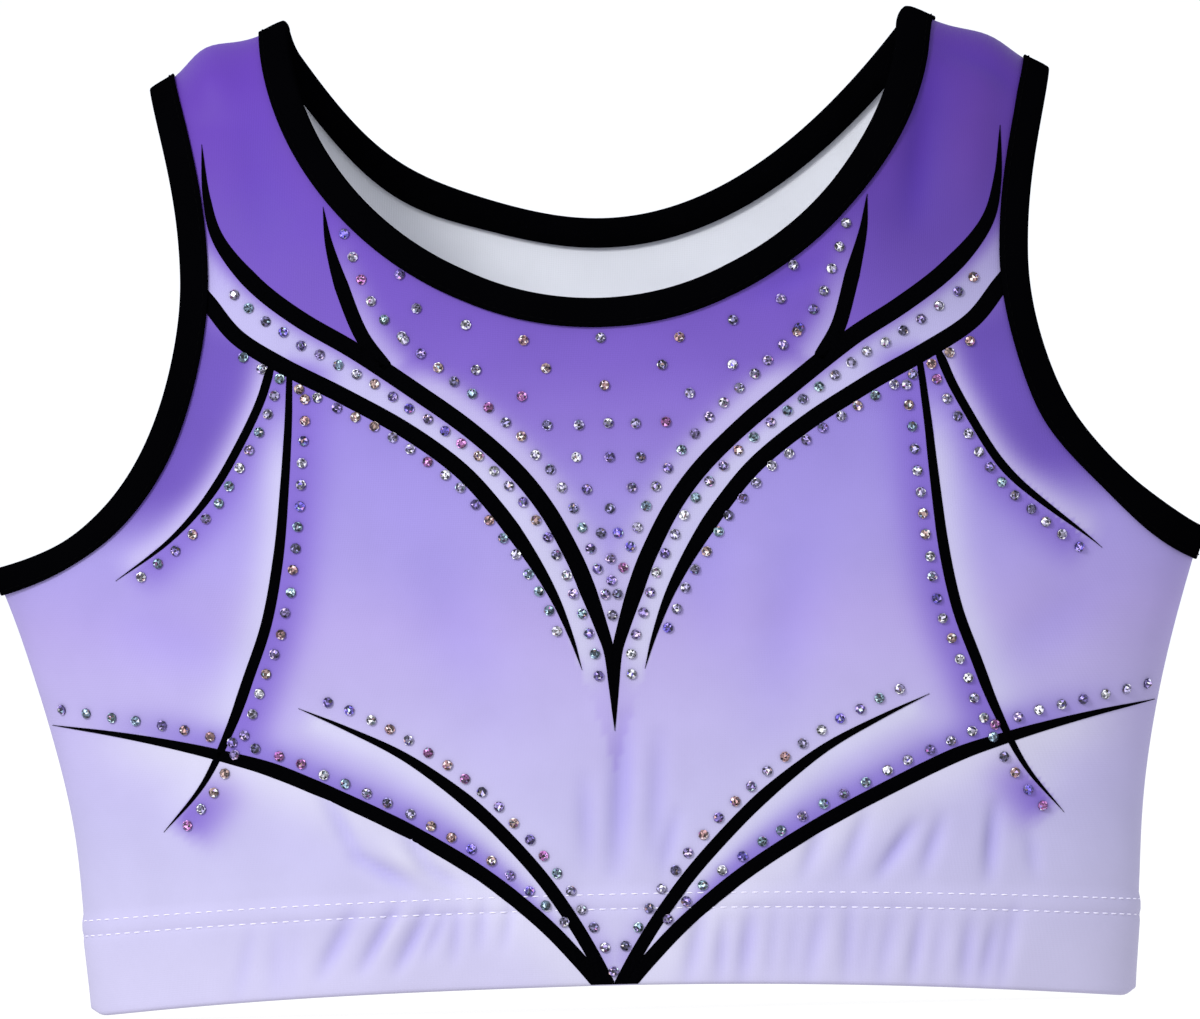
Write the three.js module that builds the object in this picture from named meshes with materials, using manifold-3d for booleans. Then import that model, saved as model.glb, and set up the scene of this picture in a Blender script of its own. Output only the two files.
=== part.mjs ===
// Gymnastics crop top, opened out as it is worn and standing on its hem.
// Millimetres, +Z up, front towards -Y, origin in the middle of the hem's resting plane.
import * as THREE from 'three';
import { mergeVertices } from 'three/addons/utils/BufferGeometryUtils.js';
import Module from 'manifold-3d';

const wasm = await Module();
wasm.setup();

// ---------- driving dimensions ----------
const HEM_HALF_WIDTH = 166.3;
const SIDE_FLARE = 24.5; // how much wider each side is at the underarm than at the hem
const UNDERARM_HEIGHT = 138;
const FRONT_DEPTH_RATIO = 0.28; // front depth for each millimetre of half width
const BACK_DEPTH_RATIO = 0.24;
const CHEST_HEIGHT = 200; // above this the panels roll over to meet at the shoulder seams
const SHOULDER_HEIGHT = 318; // where the shoulder line meets the neck edge
const SHOULDER_SLOPE = 0.5;
const NECK_HALF_WIDTH = 100;
const FRONT_NECK_DEPTH = 91;
const BACK_NECK_DEPTH = 64.5;
const STRAP_WIDTH = 44;
const ARMHOLE_HOLLOW = 8.7; // how far the armhole cuts in past the end of the strap
const FABRIC = 0.7;
const LINING = 0.5;
const BINDING_WIDTH = 9.5;
const BINDING_THICKNESS = 0.8;
const HEM_DEPTH = 31.75;
const HEM_FOLD = 3; // thickness of the turned hem with its elastic
const HEM_ELASTIC_WIDTH = 25;
const HEM_ELASTIC_THICKNESS = 0.9;
const EDGE_ELASTIC_WIDTH = 4;
const EDGE_ELASTIC_THICKNESS = 0.8;
const SEAM_ALLOWANCE = 6;
const SEAM_THICKNESS = 1.3;
const LABEL_WIDTH = 25;
const LABEL_HEIGHT = 40;
const GAP = 0.3; // room left between pieces that touch
const LOOSE_GAP = 0.55; // under bindings, seams and tapes

// ---------- sizes that follow ----------
const LAYERS = FABRIC + GAP + LINING;
const RAW_EDGE = EDGE_ELASTIC_WIDTH + BINDING_THICKNESS + 2 * LOOSE_GAP;
const UNDERARM_HALF_WIDTH = HEM_HALF_WIDTH + SIDE_FLARE;
const STRAP_OUTER = NECK_HALF_WIDTH + STRAP_WIDTH;
const ARMHOLE_LOW = UNDERARM_HEIGHT + BINDING_WIDTH - 1;
const ARMHOLE_WAIST = STRAP_OUTER - ARMHOLE_HOLLOW;

const FRONT = -1;
const BACK = 1;
const PANEL_COLUMNS = 26;

// ---------- colours ----------
const finishes = {
  print: { color: 0xb4a4e3, roughness: 0.55, metalness: 0 },
  lining: { color: 0xeceaf3, roughness: 0.7, metalness: 0 },
  binding: { color: 0x0b0b0d, roughness: 0.6, metalness: 0 },
  elastic: { color: 0xf4f3ef, roughness: 0.65, metalness: 0 },
  thread: { color: 0xd9d2ee, roughness: 0.8, metalness: 0 },
  tape: { color: 0xdfe3e6, roughness: 0.35, metalness: 0 },
  label: { color: 0xf7f7f5, roughness: 0.5, metalness: 0 },
};

// ---------- the form that the cloth lies on ----------

// Half the width of the garment at a height: it flares from hem to underarm, then eases off.
function halfWidth(height) {
  const z = Math.min(height, CHEST_HEIGHT);
  if (z <= UNDERARM_HEIGHT) {
    return HEM_HALF_WIDTH + SIDE_FLARE * (z / UNDERARM_HEIGHT) ** 2;
  }
  const slope = (2 * SIDE_FLARE) / UNDERARM_HEIGHT;
  const easing = 25;
  return UNDERARM_HALF_WIDTH + slope * easing * (1 - Math.exp((UNDERARM_HEIGHT - z) / easing));
}

// The shoulder line falls evenly away from the neck, and is rounded in the middle of the body.
function shoulderLine(x) {
  const rounding = 30;
  const past = Math.hypot(x, rounding) - Math.hypot(NECK_HALF_WIDTH, rounding);
  return SHOULDER_HEIGHT - SHOULDER_SLOPE * past;
}

// How far up the shoulder roll a point is: 0 at the chest, 1 on the shoulder line.
function rollShare(x, z) {
  return Math.min(Math.max((z - CHEST_HEIGHT) / (shoulderLine(x) - CHEST_HEIGHT), 0), 1);
}

function depth(z, side) {
  return halfWidth(z) * (side === FRONT ? FRONT_DEPTH_RATIO : BACK_DEPTH_RATIO);
}

function onForm(x, z, side) {
  const across = Math.sqrt(Math.max(1 - (x / halfWidth(z)) ** 2, 0));
  const roll = Math.sqrt(Math.max(1 - rollShare(x, z) ** 2, 0));
  return new THREE.Vector3(x, side * depth(z, side) * across * roll, z);
}

// Grows away from the form, and is zero on it.
function outsideness(x, y, z, side) {
  const share = (z - CHEST_HEIGHT) / (shoulderLine(x) - CHEST_HEIGHT);
  const roll = z > CHEST_HEIGHT ? 1 - share * share : 1;
  return y * y - depth(z, side) ** 2 * (1 - (x / halfWidth(z)) ** 2) * roll;
}

function formNormal(point, side) {
  const step = 0.05;
  const slope = (dx, dy, dz) =>
    outsideness(point.x + dx, point.y + dy, point.z + dz, side) -
    outsideness(point.x - dx, point.y - dy, point.z - dz, side);
  return new THREE.Vector3(slope(step, 0, 0), slope(0, step, 0), slope(0, 0, step)).normalize();
}

// Moves a point that is near the form onto it.
function settled(point, side) {
  const place = point.clone();
  for (let pass = 0; pass < 3; pass += 1) {
    const normal = formNormal(place, side);
    const step = 0.05;
    const ahead = place.clone().addScaledVector(normal, step);
    const here = outsideness(place.x, place.y, place.z, side);
    const slope = (outsideness(ahead.x, ahead.y, ahead.z, side) - here) / step;
    place.addScaledVector(normal, -here / slope);
  }
  return place;
}

// A point at an angle round the body (0 in the middle, +-90 degrees at the side seams), a height,
// and a distance out from the form (negative is inside).
function roundForm(angle, z, side, out) {
  const point = onForm(halfWidth(z) * Math.sin(angle), z, side);
  return point.addScaledVector(formNormal(point, side), out);
}

// A point on the shoulder roll: turn is 0 at the chest and 90 degrees on the shoulder line.
function overShoulder(x, turn, side, out) {
  const point = onForm(x, CHEST_HEIGHT, side);
  point.y *= Math.cos(turn);
  point.z = CHEST_HEIGHT + (shoulderLine(x) - CHEST_HEIGHT) * Math.sin(turn);
  return point.addScaledVector(formNormal(point, side), out);
}

// ---------- solids ----------

function signedVolume(geometry) {
  const position = geometry.attributes.position;
  const index = geometry.index;
  const corner = [new THREE.Vector3(), new THREE.Vector3(), new THREE.Vector3()];
  let volume = 0;
  for (let i = 0; i < index.count; i += 3) {
    corner.forEach((c, k) => c.fromBufferAttribute(position, index.getX(i + k)));
    volume += corner[0].dot(corner[1].cross(corner[2])) / 6;
  }
  return volume;
}

// Welds a shape's vertices and turns its faces outwards.
function closed(geometry) {
  geometry.deleteAttribute('normal');
  geometry.deleteAttribute('uv');
  const welded = mergeVertices(geometry, 1e-4);
  if (signedVolume(welded) < 0) {
    const index = welded.index;
    for (let i = 0; i < index.count; i += 3) {
      const kept = index.getX(i);
      index.setX(i, index.getX(i + 2));
      index.setX(i + 2, kept);
    }
  }
  return welded;
}

// A thin slab laid on the form. place(u, v, face) gives a point, face 1 outside and 0 inside.
function slab(columns, rows, place) {
  const geometry = new THREE.BoxGeometry(1, 1, 1, columns, rows, 1);
  const position = geometry.attributes.position;
  for (let i = 0; i < position.count; i += 1) {
    const u = position.getX(i) + 0.5;
    const v = position.getY(i) + 0.5;
    const point = place(u, v, position.getZ(i) > 0 ? 1 : 0);
    position.setXYZ(i, point.x, point.y, point.z);
  }
  return closed(geometry);
}

// A point at a distance from an edge, measured over the form, and a distance out from the form.
function besideEdge({ point, inwards, side }, e, out) {
  const place = settled(point.clone().addScaledVector(inwards, e), side);
  return place.addScaledVector(formNormal(place, side), out);
}

// A section of [across, up] points carried round a closed run of stations.
// place(station, across, up) gives the point for each.
function ring(stations, section, place) {
  const radius = 1000; // of the plain ring that is bent into shape
  const profile = section.map(([across, up]) => new THREE.Vector2(radius + across, up));
  profile.push(profile[0].clone());
  const geometry = new THREE.LatheGeometry(profile, stations.length);
  const position = geometry.attributes.position;
  for (let i = 0; i < position.count; i += 1) {
    const x = position.getX(i);
    const z = position.getZ(i);
    const turn = Math.atan2(x, z) / (2 * Math.PI) + 1;
    const station = stations[Math.round(turn * stations.length) % stations.length];
    const point = place(station, Math.hypot(x, z) - radius, position.getY(i));
    position.setXYZ(i, point.x, point.y, point.z);
  }
  return closed(geometry);
}

function toManifold(geometry) {
  return new wasm.Manifold(
    new wasm.Mesh({
      numProp: 3,
      vertProperties: new Float32Array(geometry.attributes.position.array),
      triVerts: new Uint32Array(geometry.index.array),
    }),
  );
}

function fromManifold(manifold) {
  const mesh = manifold.getMesh();
  const geometry = new THREE.BufferGeometry();
  geometry.setAttribute('position', new THREE.BufferAttribute(mesh.vertProperties, 3));
  geometry.setIndex(new THREE.BufferAttribute(mesh.triVerts, 1));
  return geometry;
}

// ---------- neck and armhole edges ----------

// The right half of the neck edge, from the middle (0) to the shoulder (1).
function neckEdge(share, side) {
  const turn = (Math.PI / 2) * Math.sin((Math.PI / 2) * share);
  const x = NECK_HALF_WIDTH * Math.sin(turn);
  const fall = side === FRONT ? FRONT_NECK_DEPTH * Math.cos(turn) : BACK_NECK_DEPTH * Math.cos(turn) ** 2;
  return new THREE.Vector2(x, SHOULDER_HEIGHT - fall);
}

const { lerp } = THREE.MathUtils;
const waistHeight = lerp(CHEST_HEIGHT, SHOULDER_HEIGHT, 0.314);
const strapEnd = new THREE.Vector2(STRAP_OUTER, shoulderLine(STRAP_OUTER));
const armholeWaist = new THREE.Vector2(ARMHOLE_WAIST, waistHeight);
const underarm = new THREE.Vector2(halfWidth(ARMHOLE_LOW), ARMHOLE_LOW);
const armholeLower = new THREE.CubicBezierCurve(
  underarm,
  new THREE.Vector2(lerp(underarm.x, ARMHOLE_WAIST, 0.47), ARMHOLE_LOW + 8),
  new THREE.Vector2(ARMHOLE_WAIST, lerp(ARMHOLE_LOW, waistHeight, 0.545)),
  armholeWaist,
);
const armholeUpper = new THREE.CubicBezierCurve(
  armholeWaist,
  new THREE.Vector2(ARMHOLE_WAIST, lerp(waistHeight, strapEnd.y, 0.42)),
  new THREE.Vector2(STRAP_OUTER - 3, lerp(waistHeight, strapEnd.y, 0.72)),
  strapEnd,
);

// The right armhole edge, from the underarm (0) to the shoulder (1).
function armholeEdge(share) {
  const eased = 1 - Math.cos(Math.PI * share);
  return eased < 1 ? armholeLower.getPoint(eased) : armholeUpper.getPoint(eased - 1);
}

// Stations along an edge from one side of the body to the other, closer where it turns sharply.
// The edge runs over the front from its start to the shoulder, then back over the back panel.
function stationsAlong(edge, steps) {
  const samples = 400;
  const dense = [];
  for (let i = 0; i <= 2 * samples; i += 1) {
    const side = i <= samples ? FRONT : BACK;
    const share = i <= samples ? i / samples : 2 - i / samples;
    const { x, y: z } = edge(share, side);
    dense.push({ point: onForm(x, z, side), side });
  }
  const last = dense.length - 1;
  const at = (i) => dense[THREE.MathUtils.clamp(i, 0, last)].point;
  const tangent = (i) => at(i + 1).clone().sub(at(i - 1)).normalize();
  const measure = [0];
  for (let i = 0; i < last; i += 1) {
    const turned = tangent(i).angleTo(tangent(i + 1));
    measure.push(measure[i] + at(i).distanceTo(at(i + 1)) / 10 + turned * 4);
  }
  const stations = [];
  for (let k = 0; k <= steps; k += 1) {
    const wanted = (measure[last] * k) / steps - 1e-9;
    const i = measure.findIndex((m) => m >= wanted);
    const { point, side } = dense[i];
    const inwards = formNormal(point, side).cross(tangent(i)).normalize();
    stations.push({ point, inwards, side });
  }
  return stations;
}

function mirrored({ point, inwards, side }) {
  const flip = new THREE.Vector3(-1, 1, 1);
  return { point: point.clone().multiply(flip), inwards: inwards.clone().multiply(flip), side };
}

// The neck runs from the middle of the front to the middle of the back, then round the other half.
const neckRight = stationsAlong(neckEdge, 32);
const neck = [...neckRight, ...neckRight.slice(1, -1).reverse().map(mirrored)];

// An armhole runs from the underarm over the shoulder and back to the underarm.
const rightArmhole = stationsAlong(armholeEdge, 48).slice(0, -1);
for (const station of rightArmhole) {
  station.inwards.negate();
}
const leftArmhole = rightArmhole.map(mirrored);

// Where the cut edge of a panel runs, seen from the front, on the right-hand half.
function cutEdge(stations, side) {
  return stations
    .map((station) => besideEdge(station, -RAW_EDGE, 0))
    .filter((point) => point.x >= -0.01 && point.y * side > 0.01)
    .sort((a, b) => a.z - b.z)
    .map((point) => new THREE.Vector2(point.x, point.z));
}

// Cuts a sheet to the panel's outline: neck, shoulders, armholes and sides.
function cutPanel(sheet, side) {
  const neckCut = cutEdge(neck, side);
  const armCut = cutEdge(rightArmhole, side);
  const above = SHOULDER_HEIGHT + 10;
  const beside = UNDERARM_HALF_WIDTH + 20;
  const neckTop = NECK_HALF_WIDTH + RAW_EDGE;
  const armTop = STRAP_OUTER - RAW_EDGE;
  const right = [
    ...neckCut,
    new THREE.Vector2(neckTop, shoulderLine(neckTop)),
    new THREE.Vector2(neckTop, above),
    new THREE.Vector2(armTop, above),
    new THREE.Vector2(armTop, shoulderLine(armTop)),
    ...armCut.reverse(),
    new THREE.Vector2(beside, ARMHOLE_LOW - RAW_EDGE),
    new THREE.Vector2(beside, -10),
  ].filter((p) => p.x > 0.01);
  const left = right.map((p) => new THREE.Vector2(-p.x, p.y)).reverse();
  const middle = neckCut.filter((p) => Math.abs(p.x) <= 0.01);
  const outline = new THREE.Shape([...right, ...left, ...middle]);
  const far = 100;
  const blade = new THREE.ExtrudeGeometry(outline, { depth: far - GAP / 2, bevelEnabled: false });
  blade.rotateX(Math.PI / 2);
  blade.translate(0, side === FRONT ? -GAP / 2 : far, 0);
  return fromManifold(toManifold(sheet).intersect(toManifold(closed(blade))));
}

// ---------- panels ----------

function evenly(from, to, count) {
  return Array.from({ length: count }, (_, i) => lerp(from, to, (i + 1) / count));
}

const bodyHeights = [
  ...evenly(HEM_DEPTH, UNDERARM_HEIGHT, 6),
  ...evenly(UNDERARM_HEIGHT, CHEST_HEIGHT, 3),
];
// Rows on the shoulder roll, closer together where it is tightest.
const rollTurns = [12, 24, 36, 48, 58, 66, 73, 79, 84.5, 90].map(THREE.MathUtils.degToRad);

// One fabric panel: down the inside of the hem, round its fold and up the outside to the shoulder.
function panelSheet(side) {
  const fold = HEM_FOLD / 2;
  const corner = fold * Math.tan(Math.PI / 6);
  const innerCorner = (fold - FABRIC) * Math.tan(Math.PI / 6);
  const hemRow = (face, z) => ({ out: [-HEM_FOLD + FABRIC, -HEM_FOLD][face], z });
  const outsideRow = (face, z) => ({ out: face ? 0 : -FABRIC, z });
  const hemMiddle = HEM_DEPTH / 2;
  const heights = [fold, hemMiddle, HEM_DEPTH, ...bodyHeights];
  const rows = [
    ...[HEM_DEPTH, hemMiddle, fold].map((z) => (face) => hemRow(face, z)),
    (face) => ({ out: -fold - (face ? corner : innerCorner), z: face ? 0 : FABRIC }),
    (face) => ({ out: -fold + (face ? corner : innerCorner), z: face ? 0 : FABRIC }),
    ...heights.map((z) => (face) => outsideRow(face, z)),
    ...rollTurns.map((turn) => (face) => ({ out: face ? 0 : -FABRIC, turn })),
  ];
  return slab(PANEL_COLUMNS, rows.length - 1, (u, v, face) => {
    const { out, z, turn } = rows[Math.round(v * (rows.length - 1))](face);
    const angle = (u - 0.5) * Math.PI;
    if (turn === undefined) {
      return roundForm(angle, z, side, out);
    }
    return overShoulder(halfWidth(CHEST_HEIGHT) * Math.sin(angle), turn, side, out);
  });
}

// The lining hangs inside the front panel, from the shoulders to just above the turned hem.
function liningSheet() {
  const heights = [HEM_DEPTH + 4, ...bodyHeights];
  const rows = heights.length + rollTurns.length - 1;
  return slab(PANEL_COLUMNS, rows, (u, v, face) => {
    const row = Math.round(v * rows);
    const angle = (u - 0.5) * Math.PI;
    const out = face ? -FABRIC - GAP : -LAYERS;
    if (row < heights.length) {
      return roundForm(angle, heights[row], FRONT, out);
    }
    const x = halfWidth(CHEST_HEIGHT) * Math.sin(angle);
    return overShoulder(x, rollTurns[row - heights.length], FRONT, out);
  });
}

// ---------- edge bands ----------

// The binding wraps the cut edge: one leg outside, a fold at the opening, one leg inside.
const bindingOuter = LOOSE_GAP + BINDING_THICKNESS;
const bindingInner = -LAYERS - bindingOuter;
const bindingBevel = 0.7;
const bindingSection = [
  [-BINDING_WIDTH, LOOSE_GAP],
  [-BINDING_WIDTH, bindingOuter],
  [-bindingBevel, bindingOuter],
  [0, bindingOuter - bindingBevel],
  [0, bindingInner + bindingBevel],
  [-bindingBevel, bindingInner],
  [-BINDING_WIDTH, bindingInner],
  [-BINDING_WIDTH, bindingInner + BINDING_THICKNESS],
  [-BINDING_THICKNESS, bindingInner + BINDING_THICKNESS],
  [-BINDING_THICKNESS, LOOSE_GAP],
];

// A narrow elastic lies in the fold of the binding, beside the cut edge.
const elasticMiddle = -LAYERS / 2;
const elasticFront = -BINDING_THICKNESS - LOOSE_GAP;
const edgeElasticSection = [
  [elasticFront - EDGE_ELASTIC_WIDTH, elasticMiddle + EDGE_ELASTIC_THICKNESS / 2],
  [elasticFront, elasticMiddle + EDGE_ELASTIC_THICKNESS / 2],
  [elasticFront, elasticMiddle - EDGE_ELASTIC_THICKNESS / 2],
  [elasticFront - EDGE_ELASTIC_WIDTH, elasticMiddle - EDGE_ELASTIC_THICKNESS / 2],
];

function edgeBand(stations, section) {
  return ring(stations, section, besideEdge);
}

// The hem elastic is a closed loop inside the turned hem.
function hemElastic() {
  const turns = Array.from({ length: 2 * PANEL_COLUMNS }, (_, i) => (i / PANEL_COLUMNS - 0.5) * Math.PI);
  const stations = turns.map((turn) =>
    turn < Math.PI / 2 ? { angle: turn, side: FRONT } : { angle: Math.PI - turn, side: BACK },
  );
  const bottom = HEM_FOLD / 2 + GAP;
  const top = bottom + HEM_ELASTIC_WIDTH;
  const out = -(HEM_FOLD - HEM_ELASTIC_THICKNESS) / 2;
  const within = out - HEM_ELASTIC_THICKNESS;
  const middle = HEM_DEPTH / 2;
  const section = [
    [out, bottom],
    [out, middle],
    [out, top],
    [within, top],
    [within, middle],
    [within, bottom],
  ];
  return ring(stations, section, ({ angle, side }, across, z) => roundForm(angle, z, side, across));
}

// ---------- seams, tapes and label ----------

// The angle round the body at a distance back from the side seam, measured along y.
function angleBehindSeam(distance, z) {
  return Math.acos(distance / depth(z, BACK));
}

// A strip inside the back panel that starts just behind a side seam.
function stripBehindSideSeam(mirror, width, low, high, outside, thickness) {
  const start = 0.8;
  return slab(3, 8, (u, v, face) => {
    const z = lerp(low, high, v);
    const angle = angleBehindSeam(start + u * width, z);
    return roundForm(mirror ? -angle : angle, z, BACK, outside - (face ? 0 : thickness));
  });
}

const seamOutside = -FABRIC - LOOSE_GAP;
const sideSeamTop = ARMHOLE_LOW - BINDING_WIDTH - 1;

function sideSeam(mirror) {
  return stripBehindSideSeam(mirror, SEAM_ALLOWANCE, HEM_DEPTH + 1, sideSeamTop, seamOutside, SEAM_THICKNESS);
}

function careLabel() {
  const low = 66;
  const outside = seamOutside - SEAM_THICKNESS - GAP;
  return stripBehindSideSeam(true, LABEL_WIDTH, low, low + LABEL_HEIGHT, outside, 0.4);
}

// A strip inside the shoulder, beside the shoulder seam, between the neck and armhole bindings.
function shoulderStrip(mirror, side, outside, thickness) {
  const clear = 1.2;
  const inner = NECK_HALF_WIDTH + BINDING_WIDTH + clear;
  const outer = STRAP_OUTER - BINDING_WIDTH - clear;
  return slab(4, 4, (u, v, face) => {
    const x = lerp(inner, outer, u);
    const reach = onForm(x, CHEST_HEIGHT, side).y * side;
    const turn = Math.acos((0.6 + v * SEAM_ALLOWANCE) / reach);
    return overShoulder(mirror ? -x : x, turn, side, outside - (face ? 0 : thickness));
  });
}

function shoulderSeam(mirror) {
  return shoulderStrip(mirror, BACK, seamOutside, SEAM_THICKNESS);
}

function shoulderTape(mirror) {
  return shoulderStrip(mirror, FRONT, -LAYERS - LOOSE_GAP, 0.4);
}

// ---------- assembly ----------

const part = new THREE.Group();
part.name = 'gymnastics_crop_top';

function addPiece(name, geometry, finish) {
  const mesh = new THREE.Mesh(geometry, new THREE.MeshStandardMaterial(finishes[finish]));
  mesh.name = name;
  part.add(mesh);
}

addPiece('front_panel', cutPanel(panelSheet(FRONT), FRONT), 'print');
addPiece('back_panel', cutPanel(panelSheet(BACK), BACK), 'print');
addPiece('front_lining', cutPanel(liningSheet(), FRONT), 'lining');
addPiece('neck_binding', edgeBand(neck, bindingSection), 'binding');
addPiece('neck_elastic', edgeBand(neck, edgeElasticSection), 'elastic');
addPiece('hem_elastic', hemElastic(), 'elastic');
for (const [hand, mirror, armhole] of [
  ['left', true, leftArmhole],
  ['right', false, rightArmhole],
]) {
  addPiece(`${hand}_armhole_binding`, edgeBand(armhole, bindingSection), 'binding');
  addPiece(`${hand}_armhole_elastic`, edgeBand(armhole, edgeElasticSection), 'elastic');
  addPiece(`${hand}_side_seam`, sideSeam(mirror), 'thread');
  addPiece(`${hand}_shoulder_seam`, shoulderSeam(mirror), 'thread');
  addPiece(`${hand}_shoulder_tape`, shoulderTape(mirror), 'tape');
}
addPiece('care_label', careLabel(), 'label');

// The origin belongs in the middle of the footprint, and the front is deeper than the back.
const footprint = new THREE.Box3().setFromObject(part).getCenter(new THREE.Vector3());
for (const piece of part.children) {
  piece.position.y = -footprint.y;
}

export default part;
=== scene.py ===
"""Looks for a gymnastics crop top: printed stretch panels, black bindings, painted motif and crystals.

The garment stands opened out as worn. Sizes are in millimetres until a mesh is made, front towards -Y.
"""

import logging
import math
from collections.abc import Callable
from dataclasses import dataclass, field
from enum import Enum

import bpy
import numpy as np
from mathutils import Matrix, Vector, kdtree


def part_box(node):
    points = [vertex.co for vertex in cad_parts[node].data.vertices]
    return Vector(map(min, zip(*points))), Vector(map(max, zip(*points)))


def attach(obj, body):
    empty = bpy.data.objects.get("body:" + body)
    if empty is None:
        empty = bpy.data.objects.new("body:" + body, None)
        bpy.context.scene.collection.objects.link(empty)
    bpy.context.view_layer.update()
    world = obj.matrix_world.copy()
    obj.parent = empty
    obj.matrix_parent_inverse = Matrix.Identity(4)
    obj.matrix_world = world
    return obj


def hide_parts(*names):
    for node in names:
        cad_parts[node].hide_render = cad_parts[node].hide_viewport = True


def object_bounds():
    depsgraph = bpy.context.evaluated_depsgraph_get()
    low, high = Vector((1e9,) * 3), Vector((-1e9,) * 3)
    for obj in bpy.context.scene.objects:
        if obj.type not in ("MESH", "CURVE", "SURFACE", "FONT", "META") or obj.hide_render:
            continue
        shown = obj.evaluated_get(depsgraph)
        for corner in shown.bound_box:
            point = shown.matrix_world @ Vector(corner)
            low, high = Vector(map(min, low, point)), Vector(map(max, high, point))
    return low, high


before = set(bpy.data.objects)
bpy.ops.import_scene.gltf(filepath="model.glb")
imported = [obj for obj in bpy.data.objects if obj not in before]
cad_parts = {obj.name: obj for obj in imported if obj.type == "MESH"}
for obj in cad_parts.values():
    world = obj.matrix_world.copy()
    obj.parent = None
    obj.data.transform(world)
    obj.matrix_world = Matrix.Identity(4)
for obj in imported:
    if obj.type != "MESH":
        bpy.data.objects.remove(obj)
CAD_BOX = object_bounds()

log = logging.getLogger("crop_top")
Array = np.ndarray
Point = tuple[float, float]
Colour = tuple[float, float, float]
Places = Callable[[Array, Array, Array], Array]
Object, Material, Socket = bpy.types.Object, bpy.types.Material, bpy.types.NodeSocket

MM = 0.001  # metres in a millimetre
BODY = "root"
HALF_PI = math.pi / 2
PRINT_STRENGTH = 0.585  # of the print's colours, which studio light then brings up
NEEDLE_ROWS = (26.0, 31.0)  # heights of the two rows of hem stitches
RAW_EDGE = 5.9  # how far inside a free edge the cloth under its binding is cut
BEHIND_SEAM = 0.8  # how far behind a side seam its allowance and the label start


class Side(Enum):
    """Which half of the garment a point is on; the value is the sign of y."""

    FRONT = -1
    BACK = 1


class Hand(Enum):
    """Left or right as seen from the front; the value is the sign of x."""

    left = -1
    right = 1


# ---- Small sums ----


def smooth(low: float, high: float, value: Array) -> Array:
    """Rises smoothly from 0 at low to 1 at high; low may be above high."""
    share = np.clip((value - low) / (high - low), 0, 1)
    return share * share * (3 - 2 * share)


def spline(points: list[Point], steps: int = 24) -> Array:
    """A smooth curve through points.

    Args:
        points: the points, in order.
        steps: how many steps to take between two of them.
    Returns:
        An array of points, one row each.
    """
    knots = np.array(points, float)
    knots = np.vstack([2 * knots[0] - knots[1], knots, 2 * knots[-1] - knots[-2]])
    t = np.linspace(0, 1, steps, endpoint=False)[:, None]
    runs = []
    for a, b, c, d in zip(knots, knots[1:], knots[2:], knots[3:]):
        cubic = 2 * b + (c - a) * t + (2 * a - 5 * b + 4 * c - d) * t**2 + (3 * b - a - 3 * c + d) * t**3
        runs.append(cubic / 2)
    return np.vstack([*runs, knots[-2:-1]])


def lengths(points: Array) -> Array:
    """The distance along a run of points, from its start to each of them."""
    return np.concatenate([[0], np.cumsum(np.linalg.norm(np.diff(points, axis=0), axis=1))])


def resampled(points: Array, count: int) -> Array:
    """The same run as count points that are evenly spaced."""
    along = lengths(points)
    wanted = np.linspace(0, along[-1], count)
    return np.stack([np.interp(wanted, along, column) for column in points.T], axis=1)


def unit(vectors: Array) -> Array:
    """The vectors scaled to length 1."""
    return vectors / np.maximum(np.linalg.norm(vectors, axis=-1, keepdims=True), 1e-12)


def linear(colour: Array) -> Array:
    """Screen colour from 0 to 255, as scene linear from 0 to 1."""
    share = np.asarray(colour, float) / 255
    return np.where(share <= 0.04045, share / 12.92, ((share + 0.055) / 1.055) ** 2.4)


# ---- The form, and how the cloth lies on it ----


@dataclass
class Fold:
    """A soft crease: a groove (depth above 0) or a ridge (below 0) from one point to another."""

    start: Point
    end: Point
    width: float
    depth: float

    def amount(self, x: Array, z: Array) -> Array:
        """How far it moves the cloth outwards at each place."""
        (x0, z0), (x1, z1) = self.start, self.end
        run = (x1 - x0) ** 2 + (z1 - z0) ** 2
        share = np.clip(((x - x0) * (x1 - x0) + (z - z0) * (z1 - z0)) / run, 0, 1)
        away = np.hypot(x - x0 - share * (x1 - x0), z - z0 - share * (z1 - z0))
        fade = np.sin(math.pi * (0.12 + 0.76 * share))
        return -self.depth * np.exp(-((away / self.width) ** 2)) * fade


def fold_rows(*rows: tuple) -> list[Fold]:
    """Folds from rows of start across and up, end across and up, width and depth."""
    return [Fold((x0, z0), (x1, z1), width, depth) for x0, z0, x1, z1, width, depth in rows]


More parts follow.
